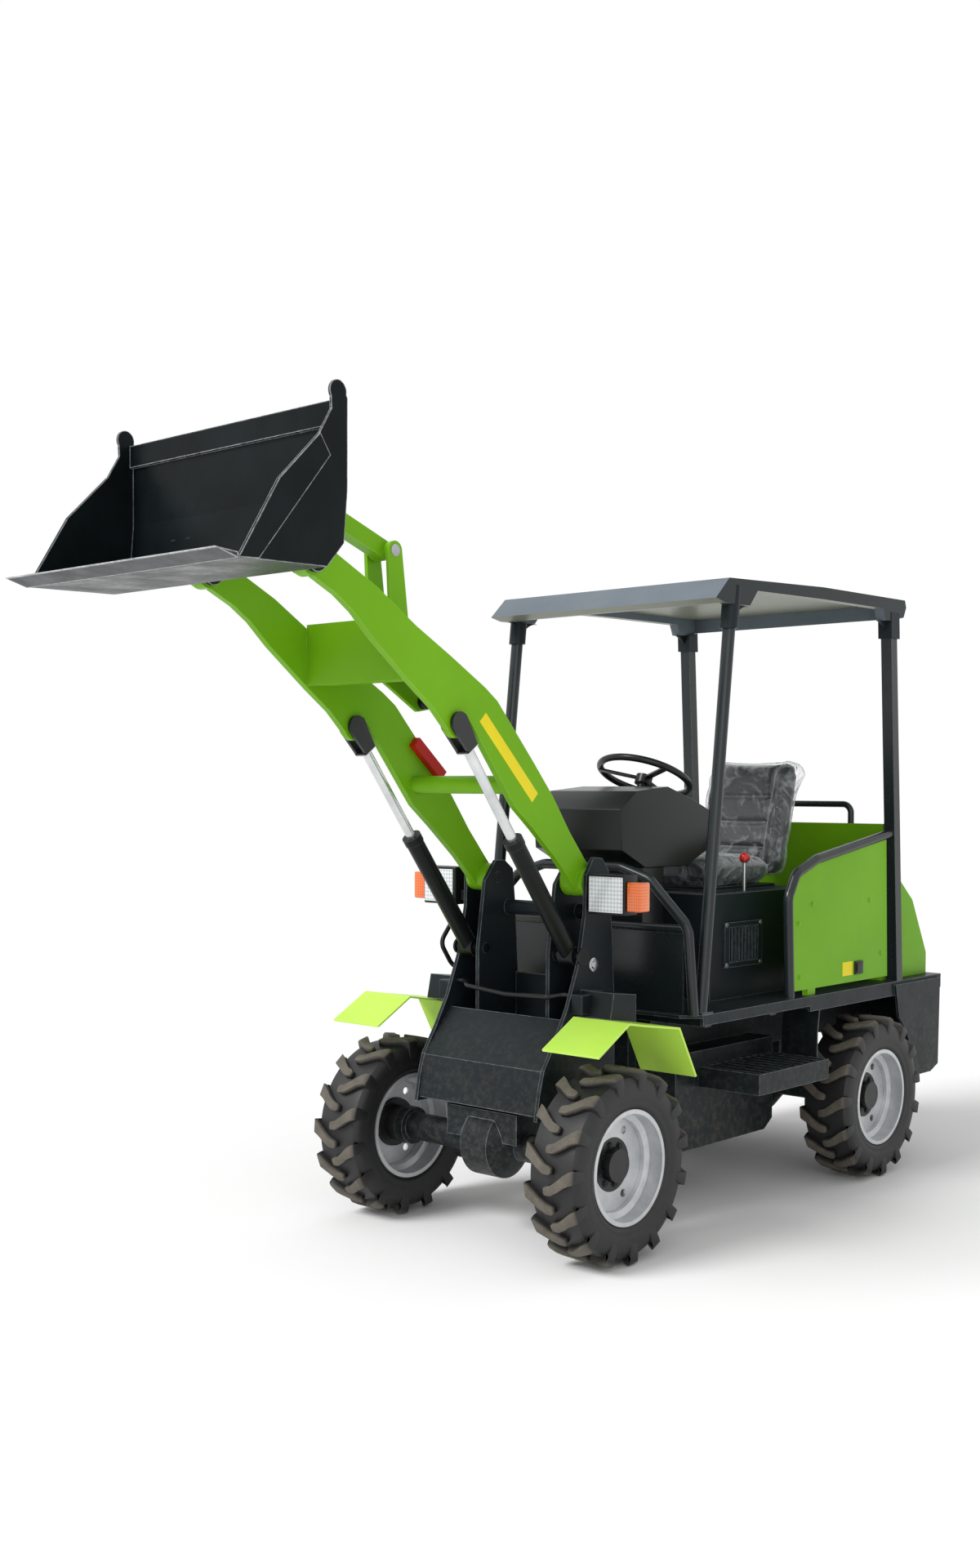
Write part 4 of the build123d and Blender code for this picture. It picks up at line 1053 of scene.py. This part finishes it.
def makeCarriers(look):
    low, high = look["low"], look["high"]
    for side, tag in sideNames:
        left, right = sorted((side * low[0], side * high[0]))
        slab("fenderBox" + tag, "front_frame", (left, *low[1:]), (right, *high[1:]),
             look["boxEdge"], darkPaint, look["boxSegments"])
        start = side * (high[0] + look["gap"])
        plateOn("fenderGusset" + tag, "front_frame", start, look["gusset"], side * look["thickness"],
                look["gussetEdge"], limePaint)
        setBolts("gussetBolts" + tag, "front_frame", [
            (row(start + side * look["thickness"], y, z), (side, 0, 0)) for y, z in look["bolts"]],
            pinSteel, look["boltScale"])


makeCarriers(carrierLook)
print("caps and carriers made")


# The lift rods: bright rod, black fork at the eye

def rodAndFork(name, look):
    made, tree, shader, place = startMaterial(name)
    eye, foot = row(*look["eye"]), row(*look["foot"])
    along = (foot - eye).normalized()
    offset = addNode(tree, "ShaderNodeVectorMath", {0: place, 1: eye}, operation="SUBTRACT").outputs[0]
    reach = addNode(tree, "ShaderNodeVectorMath", {0: offset, 1: along},
        operation="DOT_PRODUCT").outputs["Value"]
    fork = ramp(tree, reach, look["fork"] + 0.0005, look["fork"])
    patch = noiseAt(tree, place, 12.0, 4.0)
    bright = mixColour(tree, ramp(tree, patch, 0.3, 0.7), linear(224, 226, 226), linear(198, 200, 202))
    tree.links.new(mixColour(tree, fork, bright, linear(24, 26, 28)), shader.inputs["Base Color"])
    tree.links.new(ramp(tree, fork, 0.0, 1.0, 0.85, 0.0), shader.inputs["Metallic"])
    tree.links.new(ramp(tree, fork, 0.0, 1.0, 0.2, 0.42), shader.inputs["Roughness"])
    bumpFrom(tree, shader, noiseAt(tree, place, 240.0, 3.0), 0.05, 0.0004)
    return made


rodFinish = rodAndFork("rodFinish", {"eye": (0, -491, 1853), "foot": (0, 125, 1034), "fork": 0.105})
paintNode("lift_rods", rodFinish)


# The lever: red ball on top, bright stem below

def ballAndStem(name, look):
    made, tree, shader, place = startMaterial(name)
    ball = ramp(tree, heightOf(tree, place), look["ballFrom"] - 0.0006, look["ballFrom"])
    patch = ramp(tree, noiseAt(tree, place, 16.0, 3.0), 0.3, 0.7)
    stem = mixColour(tree, patch, look["stem"], look["stemShade"])
    knob = mixColour(tree, patch, look["knob"], look["knobShade"])
    tree.links.new(mixColour(tree, ball, stem, knob), shader.inputs["Base Color"])
    tree.links.new(ramp(tree, ball, 0.0, 1.0, 0.9, 0.0), shader.inputs["Metallic"])
    shader.inputs["Roughness"].default_value = 0.28
    return made


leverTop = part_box("levers")[1][2]
leverFinish = ballAndStem("leverFinish", {
    "ballFrom": leverTop - 0.037, "stem": linear(196, 198, 200), "stemShade": linear(170, 172, 174),
    "knob": linear(196, 34, 26), "knobShade": linear(168, 26, 20)})
paintNode("levers", leverFinish)


# Roof underside: a pale lining, told from the top by which way the surface faces

def roofAndCeiling(name, look):
    made, tree, shader, place = startMaterial(name)
    facing = addNode(tree, "ShaderNodeNewGeometry").outputs["Normal"]
    down = ramp(tree, heightOf(tree, facing), -0.6, -0.8)
    broad = noiseAt(tree, place, 3.0, 3.0)
    across = addNode(tree, "ShaderNodeSeparateXYZ", {"Vector": place}).outputs["X"]
    band = ramp(tree, combine(tree, "ABSOLUTE", across, 0.0), look["band"], look["band"] + 0.0004)
    shell = mixColour(tree, ramp(tree, broad, 0.3, 0.7), look["colour"], look["shade"])
    shell = mixColour(tree, band, mixColour(tree, down, shell, look["lining"]), look["side"])
    tree.links.new(shell, shader.inputs["Base Color"])
    shader.inputs["Specular IOR Level"].default_value = 0.25
    shader.inputs["Roughness"].default_value = 0.36
    grain = addNode(tree, "ShaderNodeTexVoronoi", {"Vector": place, "Scale": 420.0})
    bumpFrom(tree, shader, grain.outputs["Distance"], 0.1, 0.0008)
    return made


roofFinish = roofAndCeiling("roofFinish", {
    "colour": linear(106, 116, 124), "shade": linear(92, 102, 110), "lining": linear(116, 120, 104),
    "side": linear(28, 35, 38), "band": 0.5546})
paintNode("roof", roofFinish)
print("rod and roof finishes made")
